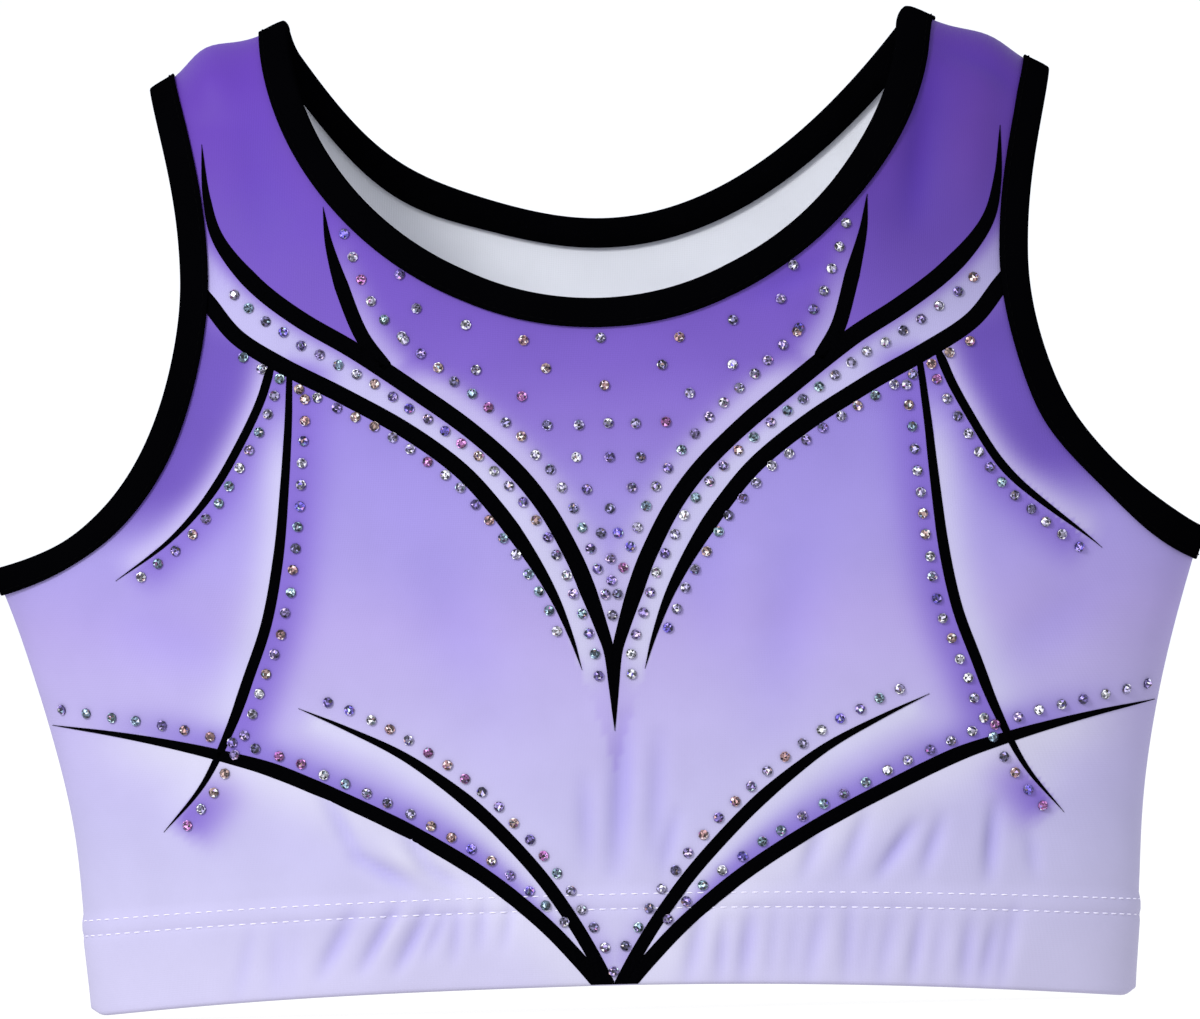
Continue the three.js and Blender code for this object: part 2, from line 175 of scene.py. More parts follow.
@dataclass
class Drape:
    """The puckers, folds and seam grooves of the cloth."""

    hem_depth: float
    seam_width: float = 1.6
    seam_depth: float = 0.75
    seed: int = 7
    folds: dict = field(default_factory=dict)

    def __post_init__(self) -> None:
        """Lists the folds of the front and the back."""
        self.folds = {Side.FRONT: self._front(), Side.BACK: self._back()}

    def _puckers(self, low: float, high: float, strength: float, rng: np.random.Generator) -> list[Fold]:
        """Gathers made by the hem elastic, side by side from low to high across the garment."""
        pitch = 7.7
        top = self.hem_depth - 9
        found = []
        for x in np.arange(low, high, pitch):
            middle = x + rng.uniform(-1.6, 1.6)
            lean = rng.uniform(0.5, 4.5)
            depth = strength * rng.uniform(0.45, 1.1)
            width = rng.uniform(2.1, 3.1)
            found.append(Fold((middle - lean, 2.0), (middle, top + rng.uniform(-1, 4)), width, depth))
        return found

    def _front(self) -> list[Fold]:
        """Folds of the front panel."""
        rng = np.random.default_rng(self.seed)
        return [
            *self._puckers(-116, -98, 0.8, rng),
            *fold_rows(
                (-93, 8, -84, 27, 2.6, 2.0), (-80, 9, -70, 28, 2.4, 2.3), (-69, 8, -60, 27, 2.2, 2.2),
                (-60, 12, -54, 27, 2.0, 1.2), (-76, 12, -67, 27, 2.2, -0.9), (-51, 10, -50, 28, 1.9, 1.2),
                (-43, 14, -42, 30, 1.9, 1.1), (-35, 14, -33, 30, 1.8, 1.0),
            ),
            *self._puckers(28, 134, 1.7, rng),
            *fold_rows(
                (-94, 70, -82, 46, 2.6, 1.9), (-83, 47, -66, 36, 2.4, 2.0), (-69, 58, -60, 42, 2.5, 1.7),
                (-61, 43, -50, 35, 2.2, 1.4), (-49, 46, -43, 36, 2.2, 1.1), (-74, 50, -62, 40, 2.6, -0.9),
                (3, 90, 0, 40, 3.6, 2.5), (-10, 70, -9, 42, 3.0, 1.3), (14, 84, 12, 44, 3.2, 1.3),
                (19, 58, 15, 38, 2.4, 1.4), (66, 54, 60, 37, 2.6, 1.6), (80, 58, 73, 38, 2.6, 1.5),
                (95, 54, 84, 37, 2.4, 2.2), (104, 56, 98, 38, 2.4, 1.6), (121, 60, 119, 37, 2.4, 2.3),
                (132, 52, 134, 38, 2.6, 1.1), (110, 304, 103, 250, 5.0, 3.0),
                (123, 292, 117, 250, 6.0, -1.6), (112, 306, 134, 290, 4.0, 1.8),
                (-112, 296, -106, 248, 9.0, 1.3), (52, 226, 76, 236, 4.0, 1.3),
                (-160, 128, -120, 112, 11.0, 1.3), (158, 130, 126, 108, 10.0, 1.3),
                (-60, 150, -40, 96, 14.0, 1.3), (62, 150, 50, 92, 12.0, 1.8), (28, 160, 34, 110, 10.0, 1.1),
            ),
        ]

    def _back(self) -> list[Fold]:
        """Folds of the back panel."""
        rng = np.random.default_rng(self.seed + 1)
        return [
            *self._puckers(-140, 140, 0.8, rng),
            *(
                Fold((x, rng.uniform(44, 66)), (x + rng.uniform(-5, 5), 38), 3.4, rng.uniform(0.4, 1.2))
                for x in np.arange(-130, 131, 15)
            ),
            *fold_rows(
                (-104, 300, -98, 244, 9.0, 1.3), (106, 300, 99, 244, 9.0, 1.3),
                (-150, 130, -96, 104, 12.0, 1.1), (150, 130, 100, 110, 12.0, 1.1),
                (-30, 190, -22, 90, 18.0, 1.2), (40, 196, 30, 110, 16.0, 1.0), (0, 120, 4, 44, 10.0, 0.9),
            ),
        ]

    def relief(self, x: Array, y: Array, z: Array, side: Side) -> Array:
        """The folds alone, which die out towards the side and shoulder seams."""
        return sum(fold.amount(x, z) for fold in self.folds[side]) * smooth(0.5, 8, np.abs(y))

    def amount(self, x: Array, y: Array, z: Array, side: Side) -> Array:
        """How far the cloth stands out from the form, whose seams are at y = 0."""
        out = self.relief(x, y, z, side)
        crown = 2.6 + 2.0 * smooth(0, -40, x)  # the straps stand up at the shoulder, more on the left
        out = out + crown * np.exp(-(((np.abs(x) - 124) / 9) ** 2)) * smooth(284, 300, z)
        hem_band = 0.9 * smooth(self.hem_depth + 1.8, self.hem_depth - 1.2, z)
        return out + hem_band - self.seam_depth * np.exp(-((y / self.seam_width) ** 2))


@dataclass(frozen=True)
class Slump:
    """How the soft garment has settled a little askew: moves in millimetres, which fade into each other."""

    body_right: float = 2.5  # the body and straps have slid to the right
    side_left: float = 1.6  # but the side seams have gone to the left
    neck_in: float = 3.6  # the front neck edge has closed up from both sides
    left_armhole_right: float = 3.4
    right_armhole_left: float = 3.0
    right_armhole_up: float = 5.1
    left_armhole_down: float = 1.7
    hem_out: float = 1.6  # the hem spreads at both sides
    left_hem_up: float = 1.2
    back_neck_down: float = 8.4  # beside the left shoulder

    def moves(self, x: Array, y: Array, z: Array, half_width: Array) -> tuple[Array, Array]:
        """How far points of the form move.

        Args:
            x: places across the form.
            y: places from its seam plane, front below 0.
            z: heights.
            half_width: half the form's width at those heights.
        Returns:
            The moves across and up, in millimetres.
        """
        at_side = (x / half_width) ** 6 * smooth(160, 140, z)
        across = self.body_right * smooth(-25, 70, z) * (1 - at_side)
        across = across - self.side_left * smooth(40, 125, z) * at_side
        neck = smooth(180, 240, z) * smooth(132, 82, np.abs(x)) * smooth(12, -14, y)
        across = across * (1 - neck) - self.neck_in * np.clip(x / 45, -1, 1) * neck

        armhole = np.exp(-(((z - 170) / 34) ** 2))
        left_armhole = smooth(-100, -145, x) * smooth(-194, -176, x) * armhole
        right_armhole = np.exp(-(((z - 174) / 24) ** 2)) * smooth(105, 142, x) * smooth(188, 170, x)
        across = across + self.left_armhole_right * left_armhole
        across = across - self.right_armhole_left * right_armhole
        up = self.right_armhole_up * smooth(118, 160, x) * armhole
        up = up - self.left_armhole_down * smooth(-125, -165, x) * armhole

        hem = np.exp(-(((z - 30) / 26) ** 2))
        across = across + self.hem_out * np.clip(x / 165, -1, 1) ** 5 * hem
        up = up + self.left_hem_up * smooth(-20, -150, x) * smooth(90, 0, z)

        back_neck = np.exp(-(((x + 74) / 30) ** 2)) * smooth(215, 262, z) * smooth(2, 14, y)
        return across, up - self.back_neck_down * back_neck


@dataclass
class Form:
    """The shape that the cloth lies on: an oval body that rolls over to the shoulder seams."""

    hem_half_width: float = 166.3
    side_flare: float = 24.5
    underarm_height: float = 138
    chest_height: float = 200
    shoulder_height: float = 318
    shoulder_slope: float = 0.5
    front_depth_ratio: float = 0.28
    back_depth_ratio: float = 0.24
    neck_half_width: float = 100
    front_neck_depth: float = 91
    back_neck_depth: float = 64.5
    strap_width: float = 44
    armhole_hollow: float = 8.7
    binding_width: float = 9.5
    hem_depth: float = 31.75
    hem_arch: float = 8  # how much higher the hem is in the middle than at the side seams
    arch_height: float = 130  # where the arch has died out
    seam_plane: float = 0
    drape: Drape | None = None
    slump: Slump = Slump()

    def __post_init__(self) -> None:
        """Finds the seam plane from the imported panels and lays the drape."""
        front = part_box("front_panel")[1].y
        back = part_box("back_panel")[0].y
        self.seam_plane = (front + back) / 2 / MM
        self.drape = Drape(self.hem_depth)

    def half_width(self, z: Array) -> Array:
        """Half the width of the garment at each height."""
        z = np.minimum(z, self.chest_height)
        easing = 25
        below = self.hem_half_width + self.side_flare * (z / self.underarm_height) ** 2
        past = 1 - np.exp((self.underarm_height - np.maximum(z, self.underarm_height)) / easing)
        slope = 2 * self.side_flare / self.underarm_height
        above = self.hem_half_width + self.side_flare + slope * easing * past
        return np.where(z <= self.underarm_height, below, above)

    def shoulder_line(self, x: Array) -> Array:
        """Height of the shoulder seam, which is rounded in the middle of the body."""
        rounding = 30
        past = np.hypot(x, rounding) - math.hypot(self.neck_half_width, rounding)
        return self.shoulder_height - self.shoulder_slope * past

    def depth(self, z: Array, side: Side) -> Array:
        """How deep the front or the back is in its middle."""
        ratio = self.front_depth_ratio if side is Side.FRONT else self.back_depth_ratio
        return self.half_width(z) * ratio

    def roll(self, x: Array, z: Array) -> Array:
        """How far up the shoulder roll each point is: 0 at the chest, 1 on the shoulder line."""
        return np.maximum((z - self.chest_height) / (self.shoulder_line(x) - self.chest_height), 0)

    def on_form(self, x: Array, z: Array, side: Side) -> Array:
        """Points of the bare form, with the seam plane at y = 0."""
        across = np.sqrt(np.maximum(1 - (x / self.half_width(z)) ** 2, 0))
        rolled = np.sqrt(np.maximum(1 - self.roll(x, z) ** 2, 0))
        return np.stack([x, side.value * self.depth(z, side) * across * rolled, z], axis=-1)

    def outsideness(self, p: Array, side: Side) -> Array:
        """Grows away from the form and is 0 on it."""
        x, y, z = np.moveaxis(p, -1, 0)
        across = 1 - (x / self.half_width(z)) ** 2
        return y * y - self.depth(z, side) ** 2 * across * (1 - self.roll(x, z) ** 2)

    def normal(self, p: Array, side: Side) -> Array:
        """Directions straight out of the form."""
        step = 0.05
        slopes = []
        for axis in np.eye(3) * step:
            slopes.append(self.outsideness(p + axis, side) - self.outsideness(p - axis, side))
        return unit(np.stack(slopes, axis=-1))

    def settled(self, p: Array, side: Side) -> Array:
        """Moves points that are near the form onto it."""
        step = 0.05
        for _ in range(3):
            direction = self.normal(p, side)
            here = self.outsideness(p, side)
            slope = (self.outsideness(p + direction * step, side) - here) / step
            p = p - direction * (here / slope)[..., None]
        return p

    def dressed(self, p: Array, out: Array, side: Side) -> Array:
        """Lays points of the bare form on the draped cloth.

        Args:
            p: points of the bare form.
            out: how far each stands out from the cloth's outer face; below 0 is inside.
            side: front or back.
        Returns:
            The points in the garment's own place, in millimetres.
        """
        x, y, z = np.moveaxis(p, -1, 0)
        total = out + self.drape.amount(x, y, z, side)
        place = p + self.normal(p, side) * total[..., None]
        place[..., 1] += self.seam_plane
        place[..., 2] += self.lift(x, z)
        across, up = self.slump.moves(*np.moveaxis(p, -1, 0), self.half_width(p[..., 2]))
        place[..., 0] += across
        place[..., 2] += up
        return place

    def lift(self, x: Array, z: Array) -> Array:
        """How much the arch of the hem raises each point."""
        middle = np.maximum(1 - (x / self.half_width(z)) ** 2, 0)
        from_side = self.half_width(z) - np.abs(x)
        corner = 2.0 * np.exp(-((from_side / 2.0) ** 2)) * np.clip(1 - z / 12, 0, 1)
        return self.hem_arch * middle * np.clip(1 - z / self.arch_height, 0, 1) + corner

    def unlifted(self, x: Array, height: Array) -> Array:
        """The height on the form of points seen at these heights, before the arch raises them."""
        arch = self.hem_arch * np.maximum(1 - (x / self.half_width(height)) ** 2, 0)
        return np.where(height < self.arch_height, (height - arch) / (1 - arch / self.arch_height), height)

    def lay(self, x: Array, z: Array, out: Array, side: Side) -> Array:
        """Points of the draped garment from places across and up the form."""
        x, z = np.broadcast_arrays(np.asarray(x, float), np.asarray(z, float))
        return self.dressed(self.on_form(x, z, side), np.broadcast_to(out, x.shape), side)

    # The free edges of the neck and the armholes.

    def neck_edge(self, side: Side, steps: int = 240) -> Array:
        """The right half of the neck edge as (x, z), from the middle to the shoulder."""
        turn = HALF_PI * np.sin(HALF_PI * np.linspace(0, 1, steps))
        if side is Side.FRONT:
            fall = self.front_neck_depth * np.cos(turn)
        else:
            fall = self.back_neck_depth * np.cos(turn) ** 2
        return np.stack([self.neck_half_width * np.sin(turn), self.shoulder_height - fall], axis=1)

    def armhole_edge(self, steps: int = 160) -> Array:
        """The right armhole edge as (x, z), from the underarm to the shoulder."""
        low = self.underarm_height + self.binding_width - 1
        outer = self.neck_half_width + self.strap_width
        waist = outer - self.armhole_hollow
        middle = self.chest_height + 0.314 * (self.shoulder_height - self.chest_height)
        top = float(self.shoulder_line(outer))
        start = float(self.half_width(low))
        lower = [
            (start, low),
            (start + 0.47 * (waist - start), low + 8),
            (waist, low + 0.545 * (middle - low)),
            (waist, middle),
        ]
        upper = [
            (waist, middle),
            (waist, middle + 0.42 * (top - middle)),
            (outer - 3, middle + 0.72 * (top - middle)),
            (outer, top),
        ]
        t = np.linspace(0, 1, steps)[:, None]
        blend = np.hstack([(1 - t) ** 3, 3 * t * (1 - t) ** 2, 3 * t * t * (1 - t), t**3])
        return np.vstack([blend @ np.array(lower), (blend @ np.array(upper))[1:]])

    def inside_edges(self, x: Array, z: Array, side: Side) -> Array:
        """How far each point of the form lies inside the nearest free edge; below 0 is in an opening."""
        neck, arm = self.neck_edge(side), self.armhole_edge()
        points = self.on_form(np.abs(x), z, side)
        away = np.full(x.shape, np.inf)
        for edge in (neck, arm):
            line = self.on_form(edge[:, 0], edge[:, 1], side)
            tree = kdtree.KDTree(len(line) * 4)
            for i, p in enumerate(resampled(line, len(line) * 4)):
                tree.insert(p, i)
            tree.balance()
            near = np.array([tree.find(p)[2] for p in points])
            away = np.minimum(away, near)
        in_neck = (np.abs(x) < self.neck_half_width) & (z > np.interp(np.abs(x), neck[:, 0], neck[:, 1]))
        rises = np.argsort(arm[:, 1])
        in_arm = (z > arm[0, 1]) & (np.abs(x) > np.interp(z, arm[rises, 1], arm[rises, 0]))
        return np.where(in_neck | in_arm, -away, away)

    def frames(self, x: Array, z: Array, side: Side, out: float) -> tuple[Array, Array, Array]:
        """Place, direction across and direction outwards on the cloth at each point."""
        step = 0.4
        here = self.lay(x, z, out, side)
        across = unit(self.lay(x + step, z, out, side) - self.lay(x - step, z, out, side))
        up = unit(self.lay(x, z + step, out, side) - self.lay(x, z - step, out, side))
        outwards = unit(np.cross(across, up))
        if side is Side.BACK:
            outwards = -outwards
        return here, across, outwards


# ---- Making meshes ----


def deselect() -> None:
    """Leaves nothing selected and no active object."""
    bpy.ops.object.select_all(action="DESELECT")
    bpy.context.view_layer.objects.active = None


def make_piece(name: str, points: Array, faces: list, uv: Array | None = None) -> Object:
    """A mesh object at the origin.

    Args:
        name: the piece's name.
        points: its vertices in millimetres.
        faces: lists of vertex numbers.
        uv: a place on the cloth in metres for each vertex, if it has any.
    Returns:
        The new object, linked to the scene, with smooth faces.
    """
    mesh = bpy.data.meshes.new(name)
    mesh.from_pydata((np.asarray(points) * MM).tolist(), [], [list(map(int, f)) for f in faces])
    mesh.update()
    if uv is not None:
        layer = mesh.uv_layers.new(name="cloth")
        corner = np.zeros(len(mesh.loops), int)
        mesh.loops.foreach_get("vertex_index", corner)
        layer.data.foreach_set("uv", np.asarray(uv, np.float32)[corner].ravel())
    mesh.polygons.foreach_set("use_smooth", np.ones(len(mesh.polygons), bool))
    piece = bpy.data.objects.new(name, mesh)
    bpy.context.scene.collection.objects.link(piece)
    return piece


def apply_modifier(piece: Object, kind: str, **settings: object) -> None:
    """Adds a modifier to a piece and applies it at once."""
    deselect()
    piece.select_set(True)
    bpy.context.view_layer.objects.active = piece
    modifier = piece.modifiers.new(kind.lower(), kind)
    for key, value in settings.items():
        setattr(modifier, key, value)
    bpy.ops.object.modifier_apply(modifier=modifier.name)
    deselect()


def grid_faces(rows: int, columns: int, close_rows: bool = False, close_columns: bool = False) -> Array:
    """Quads of a grid of vertices numbered row by row; a closed way joins its end to its start."""
    r = np.arange(rows if close_rows else rows - 1)
    c = np.arange(columns if close_columns else columns - 1)
    r, c = (a.ravel() for a in np.meshgrid(r, c, indexing="ij"))
    r1, c1 = (r + 1) % rows, (c + 1) % columns
    return np.stack([r * columns + c, r * columns + c1, r1 * columns + c1, r1 * columns + c], axis=1)


def shares(rows: int, columns: int) -> tuple[Array, Array]:
    """Shares across and along a grid, from 0 to 1, for vertices numbered row by row."""
    v, u = np.meshgrid(np.linspace(0, 1, rows), np.linspace(0, 1, columns), indexing="ij")
    return u.ravel(), v.ravel()


def cloth_places(across: Array, up: Array) -> Array:
    """Places on the flat cloth in metres, for vertices numbered row by row."""
    return np.stack(np.meshgrid(across, up), axis=-1).reshape(-1, 2) * MM


def outward(points: Array, faces: Array) -> Array:
    """Turns the faces of a closed shape round if they point inwards."""
    a, b, c = (points[faces[:, i]] for i in (0, 1, 2))
    volume = np.einsum("ij,ij->i", a, np.cross(b, c)).sum()
    if faces.shape[1] == 4:
        d = points[faces[:, 3]]
        volume += np.einsum("ij,ij->i", a, np.cross(c, d)).sum()
    return faces[:, ::-1] if volume < 0 else faces


def tube(points: Array, radius: float, sides: int = 6) -> tuple[Array, list]:
    """A round thread along a run of points, with closed ends.

    Args:
        points: the middle of the thread.
        radius: of the thread.
        sides: how many sides its section has.
    Returns:
        Its vertices and faces.
    """
    tangent = unit(np.gradient(points, axis=0))
    reference = unit(np.cross(tangent[0], [0.31, 0.52, 0.8]))
    rings = []
    for place, along in zip(points, tangent):
        reference = unit(reference - along * (reference @ along))
        other = np.cross(along, reference)
        turns = np.linspace(0, 2 * math.pi, sides, endpoint=False)[:, None]
        rings.append(place + radius * (np.cos(turns) * reference + np.sin(turns) * other))
    count = len(points)
    faces = grid_faces(count, sides, close_columns=True)[:, ::-1].tolist()
    faces.append(list(range(sides)))
    faces.append([(count - 1) * sides + i for i in reversed(range(sides))])
    return np.vstack(rings), faces


def merged(parts: list[tuple[Array, list]]) -> tuple[Array, list]:
    """Several shapes as one list of vertices and one of faces."""
    points, faces, start = [], [], 0
    for vertices, polygons in parts:
        points.append(vertices)
        faces.extend([[start + i for i in polygon] for polygon in polygons])
        start += len(vertices)
    return np.vstack(points), faces


def copies(model: Object, places: Array, across: Array, outwards: Array, name: str) -> Object:
    """Copies of a small model, one at each place, as one piece.

    Args:
        model: the model at the origin, its own length along X and its top towards +Z, in metres.
        places: where each copy goes, in millimetres.
        across: the direction of each copy's X.
        outwards: the direction of each copy's Z.
        name: of the new piece.
    Returns:
        The new piece, with the model's smoothing.
    """
    local = np.array([v.co for v in model.data.vertices]) / MM
    polygons = [list(p.vertices) for p in model.data.polygons]
    outwards = unit(outwards)
    across = unit(across - outwards * np.sum(across * outwards, axis=1, keepdims=True))
    up = np.cross(outwards, across)
    axes = np.stack([across, up, outwards], axis=1)
    points = (np.einsum("vk,nkj->nvj", local, axes) + places[:, None]).reshape(-1, 3)
    count = len(local)
    faces = [[n * count + i for i in polygon] for n in range(len(places)) for polygon in polygons]
    piece = make_piece(name, points, faces)
    flat = [p.use_smooth for p in model.data.polygons] * len(places)
    piece.data.polygons.foreach_set("use_smooth", np.array(flat))
    return piece


def order_faces(piece: Object) -> None:
    """Puts a piece's flat faces in order of their vertices, because triangulation leaves the order open."""
    corners = [list(p.vertices) for p in piece.data.polygons]
    starts = [polygon.index(min(polygon)) for polygon in corners]
    faces = sorted(polygon[i:] + polygon[:i] for polygon, i in zip(corners, starts))
    points = [vertex.co.copy() for vertex in piece.data.vertices]
    piece.data.clear_geometry()
    piece.data.from_pydata(points, [], faces)
    piece.data.update()


def paint(piece: Object, attribute: str, colours: Array) -> None:
    """Gives each vertex of a piece a colour, in scene linear."""
    layer = piece.data.color_attributes.new(attribute, "FLOAT_COLOR", "POINT")
    rgba = np.ones((len(colours), 4), np.float32)
    rgba[:, :3] = colours
    layer.data.foreach_set("color", rgba.ravel())


def dress(piece: Object, *materials: Material) -> None:
    """Puts materials into a piece's slots, in order."""
    piece.data.materials.clear()
    for material in materials:
        piece.data.materials.append(material)


def seat(piece: Object, slot: str | None, *nodes: str, finish: Material | None = None) -> None:
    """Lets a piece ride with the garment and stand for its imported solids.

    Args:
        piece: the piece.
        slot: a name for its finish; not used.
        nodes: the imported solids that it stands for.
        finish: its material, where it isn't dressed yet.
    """
    if finish:
        dress(piece, finish)
    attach(piece, BODY)
    if nodes:
        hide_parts(*nodes)
    corners = sum(len(p.vertices) - 2 for p in piece.data.polygons)
    log.info("%s: %d triangles", piece.name, corners)


# ---- Finishes ----


class Shader:
    """A new material with its node tree and a few ways to add to it."""

    def __init__(self, name: str, roughness: float) -> None:
        """Makes the material with one main shader."""
        self.material = bpy.data.materials.new(name)
        self.material.use_nodes = True
        self.tree = self.material.node_tree
        self.main = self.tree.nodes["Principled BSDF"]
        self.main.inputs["Roughness"].default_value = roughness

    def add(self, kind: str, **values: object) -> bpy.types.Node:
        """Adds a node and sets its properties and unlinked inputs by name."""
        made = self.tree.nodes.new("ShaderNode" + kind)
        for key, value in values.items():
            if hasattr(made, key):
                setattr(made, key, value)
            else:
                made.inputs[key.replace("_", " ")].default_value = value
        return made

    def link(self, source: Socket, target: Socket) -> None:
        """Joins two sockets."""
        self.tree.links.new(source, target)

    def place(self) -> Socket:
        """The place in the garment, in metres."""
        return self.add("TexCoord").outputs["Object"]

    def cloth(self) -> Socket:
        """The place on the flat cloth, in metres."""
        return self.add("UVMap", uv_map="cloth").outputs["UV"]

    def painted(self, attribute: str) -> Socket:
        """The colour that was painted on the piece."""
        return self.add("Attribute", attribute_name=attribute).outputs["Color"]

    def set(self, **values: object) -> None:
        """Sets inputs of the main shader by name."""
        for key, value in values.items():
            self.main.inputs[key.replace("_", " ")].default_value = value

    def noise(self, where: Socket, size: float, detail: float = 3) -> Socket:
        """Soft noise whose lumps are about size metres across."""
        made = self.add("TexNoise", Scale=1 / size, Detail=detail)
        self.link(where, made.inputs["Vector"])
        return made.outputs["Fac"]

    def ranged(self, value: Socket, low: float, high: float) -> Socket:
        """Noise from its usual spread, as a number from low to high."""
        made = self.add("MapRange")
        for key, number in (("From Min", 0.3), ("From Max", 0.7), ("To Min", low), ("To Max", high)):
            made.inputs[key].default_value = number
        self.link(value, made.inputs["Value"])
        return made.outputs["Result"]

    def waves(self, where: Socket, pitch: float, axis: str, distortion: float) -> Socket:
        """Even ribs across an axis of the cloth, pitch metres apart."""
        made = self.add("TexWave", wave_type="BANDS", bands_direction=axis, Distortion=distortion, Detail=1)
        made.inputs["Scale"].default_value = 2 * math.pi / (20 * pitch)  # a wave of scale 1 takes 20 radians
        self.link(where, made.inputs["Vector"])
        return made.outputs["Fac"]

    def colour(self, base: Colour | Socket, factor: Socket) -> None:
        """Gives the main shader a screen colour or a painted one, lighter or darker by a factor."""
        made = self.add("VectorMath", operation="SCALE")
        if isinstance(base, tuple):
            made.inputs[0].default_value = linear(base)
        else:
            self.link(base, made.inputs[0])
        self.link(factor, made.inputs["Scale"])
        self.link(made.outputs["Vector"], self.main.inputs["Base Color"])

    def rough(self, noise: Socket, low: float, high: float) -> None:
        """Lets the roughness of the main shader follow a noise, from low to high."""
        self.link(self.ranged(noise, low, high), self.main.inputs["Roughness"])

    def sum(self, first: Socket, second: Socket, weight: float) -> Socket:
        """The first value plus a share of the second."""
        made = self.add("Math", operation="MULTIPLY_ADD")
        self.link(second, made.inputs[0])
        made.inputs[1].default_value = weight
        self.link(first, made.inputs[2])
        return made.outputs[0]

    def bump(self, height: Socket, strength: float, distance: float) -> None:
        """Adds relief to the main shader; distance is its full height in metres."""
        made = self.add("Bump", Strength=strength, Distance=distance)
        self.link(height, made.inputs["Height"])
        self.link(made.outputs["Normal"], self.main.inputs["Normal"])


@dataclass(frozen=True)
class Knit:
    """A stretch knit: ribs of loops along the cloth, rows across it, a soft sheen and faint mottling."""

    name: str
    colour: Colour = (128, 128, 128)
    attribute: str = ""  # a painted colour that takes the place of the plain one
    roughness: float = 0.55
    sheen: float = 0.2
    wale: float = 0.5  # millimetres between ribs
    relief: float = 0.12
    mottle: float = 0.03
    specular: float = 0.3

    def build(self) -> Material:
        """Makes the material."""
        s = Shader(self.name, self.roughness)
        place = s.place()
        cloth = s.cloth()
        wales = s.waves(cloth, self.wale * MM, "X", 0.6)
        courses = s.waves(cloth, self.wale * 1.3 * MM, "Y", 0.8)
        fibres = s.noise(place, 0.25 * MM, 2)
        patches = s.noise(place, 22 * MM, 4)
        shade = s.sum(s.ranged(patches, 1 - self.mottle, 1 + self.mottle), fibres, self.mottle)
        shade = s.sum(shade, wales, -self.mottle)
        s.colour(s.painted(self.attribute) if self.attribute else self.colour, shade)
        height = s.sum(s.sum(wales, courses, 0.6), fibres, 0.8)
        s.bump(height, self.relief, 0.2 * MM)
        s.rough(patches, self.roughness - 0.05, self.roughness + 0.06)
        s.set(Sheen_Weight=self.sheen, Sheen_Roughness=0.4, Specular_IOR_Level=self.specular)
        return s.material


@dataclass(frozen=True)
class Paint:
    """A flat black print on the cloth, with the grain of the knit just showing through."""

    name: str
    colour: Colour

    def build(self) -> Material:
        """Makes the material."""
        s = Shader(self.name, 0.55)
        place = s.place()
        fibres = s.noise(place, 0.5 * MM, 3)
        patches = s.noise(place, 12 * MM, 2)
        s.colour(self.colour, s.ranged(fibres, 0.7, 1.4))
        s.rough(patches, 0.5, 0.66)
        s.bump(fibres, 0.15, 0.15 * MM)
        s.set(Specular_IOR_Level=0.0)
        return s.material


@dataclass(frozen=True)
class Thread:
    """Spun sewing thread: fine twist lines and a slight fuzz."""

    name: str
    colour: Colour
    sheen: float = 0.3
    specular: float = 0.3

    def build(self) -> Material:
        """Makes the material."""
        s = Shader(self.name, 0.6)
        place = s.place()
        fibres = s.noise(place, 0.16 * MM, 3)
        s.colour(self.colour, s.ranged(fibres, 0.9, 1.06))
        s.rough(fibres, 0.52, 0.7)
        s.bump(fibres, 0.4, 0.1 * MM)
        s.set(Sheen_Weight=self.sheen, Specular_IOR_Level=self.specular)
        return s.material


@dataclass(frozen=True)
class Crystal:
    """Cut glass with a rainbow coating; each facet has its own painted colour, its coating tint with painted
    reflections and glints.
    """

    name: str

    def build(self) -> Material:
        """Makes the material."""
        s = Shader(self.name, 0.1)
        place = s.place()
        film = s.noise(place, 0.9 * MM, 2)
        s.colour(s.painted("facet"), s.ranged(film, 0.82, 1.18))
        s.rough(film, 0.05, 0.16)
        s.set(Metallic=0.2, Specular_IOR_Level=0.35, Coat_Weight=0.15, Coat_Roughness=0.05)
        return s.material


@dataclass(frozen=True)
class Elastic:
    """Woven or braided elastic with fine lengthways ribs of covered rubber."""

    name: str
    colour: Colour
    rib: float  # millimetres between ribs

    def build(self) -> Material:
        """Makes the material."""
        s = Shader(self.name, 0.65)
        cloth = s.cloth()
        place = s.place()
        ribs = s.waves(cloth, self.rib * MM, "Y", 0.2)
        picks = s.waves(cloth, 0.8 * MM, "X", 0.5)
        fuzz = s.noise(place, 0.3 * MM, 2)
        s.colour(self.colour, s.ranged(ribs, 0.86, 1.0))
        s.rough(fuzz, 0.58, 0.72)
        s.bump(s.sum(ribs, picks, 0.4), 0.5, 0.25 * MM)
        return s.material


@dataclass(frozen=True)
class Film:
    """Clear matt stay tape: nearly colourless soft plastic with a fine stipple."""

    name: str
    colour: Colour

    def build(self) -> Material:
        """Makes the material."""
        s = Shader(self.name, 0.35)
        place = s.place()
        stipple = s.noise(place, 0.4 * MM, 2)
        s.colour(self.colour, s.ranged(stipple, 0.94, 1.03))
        s.rough(stipple, 0.28, 0.45)
        s.bump(stipple, 0.3, 0.05 * MM)
        s.set(Transmission_Weight=0.25)
        return s.material


@dataclass(frozen=True)
class Satin:
    """Blank satin label tape: close lengthways yarns with a broad sheen."""

    name: str
    colour: Colour

    def build(self) -> Material:
        """Makes the material."""
        s = Shader(self.name, 0.38)
        cloth = s.cloth()
        place = s.place()
        yarns = s.waves(cloth, 0.25 * MM, "X", 0.4)
        patches = s.noise(place, 6 * MM, 2)
        s.colour(self.colour, s.ranged(patches, 0.97, 1.02))
        s.rough(patches, 0.33, 0.44)
        s.bump(yarns, 0.2, 0.05 * MM)
        s.set(Sheen_Weight=0.3)
        return s.material


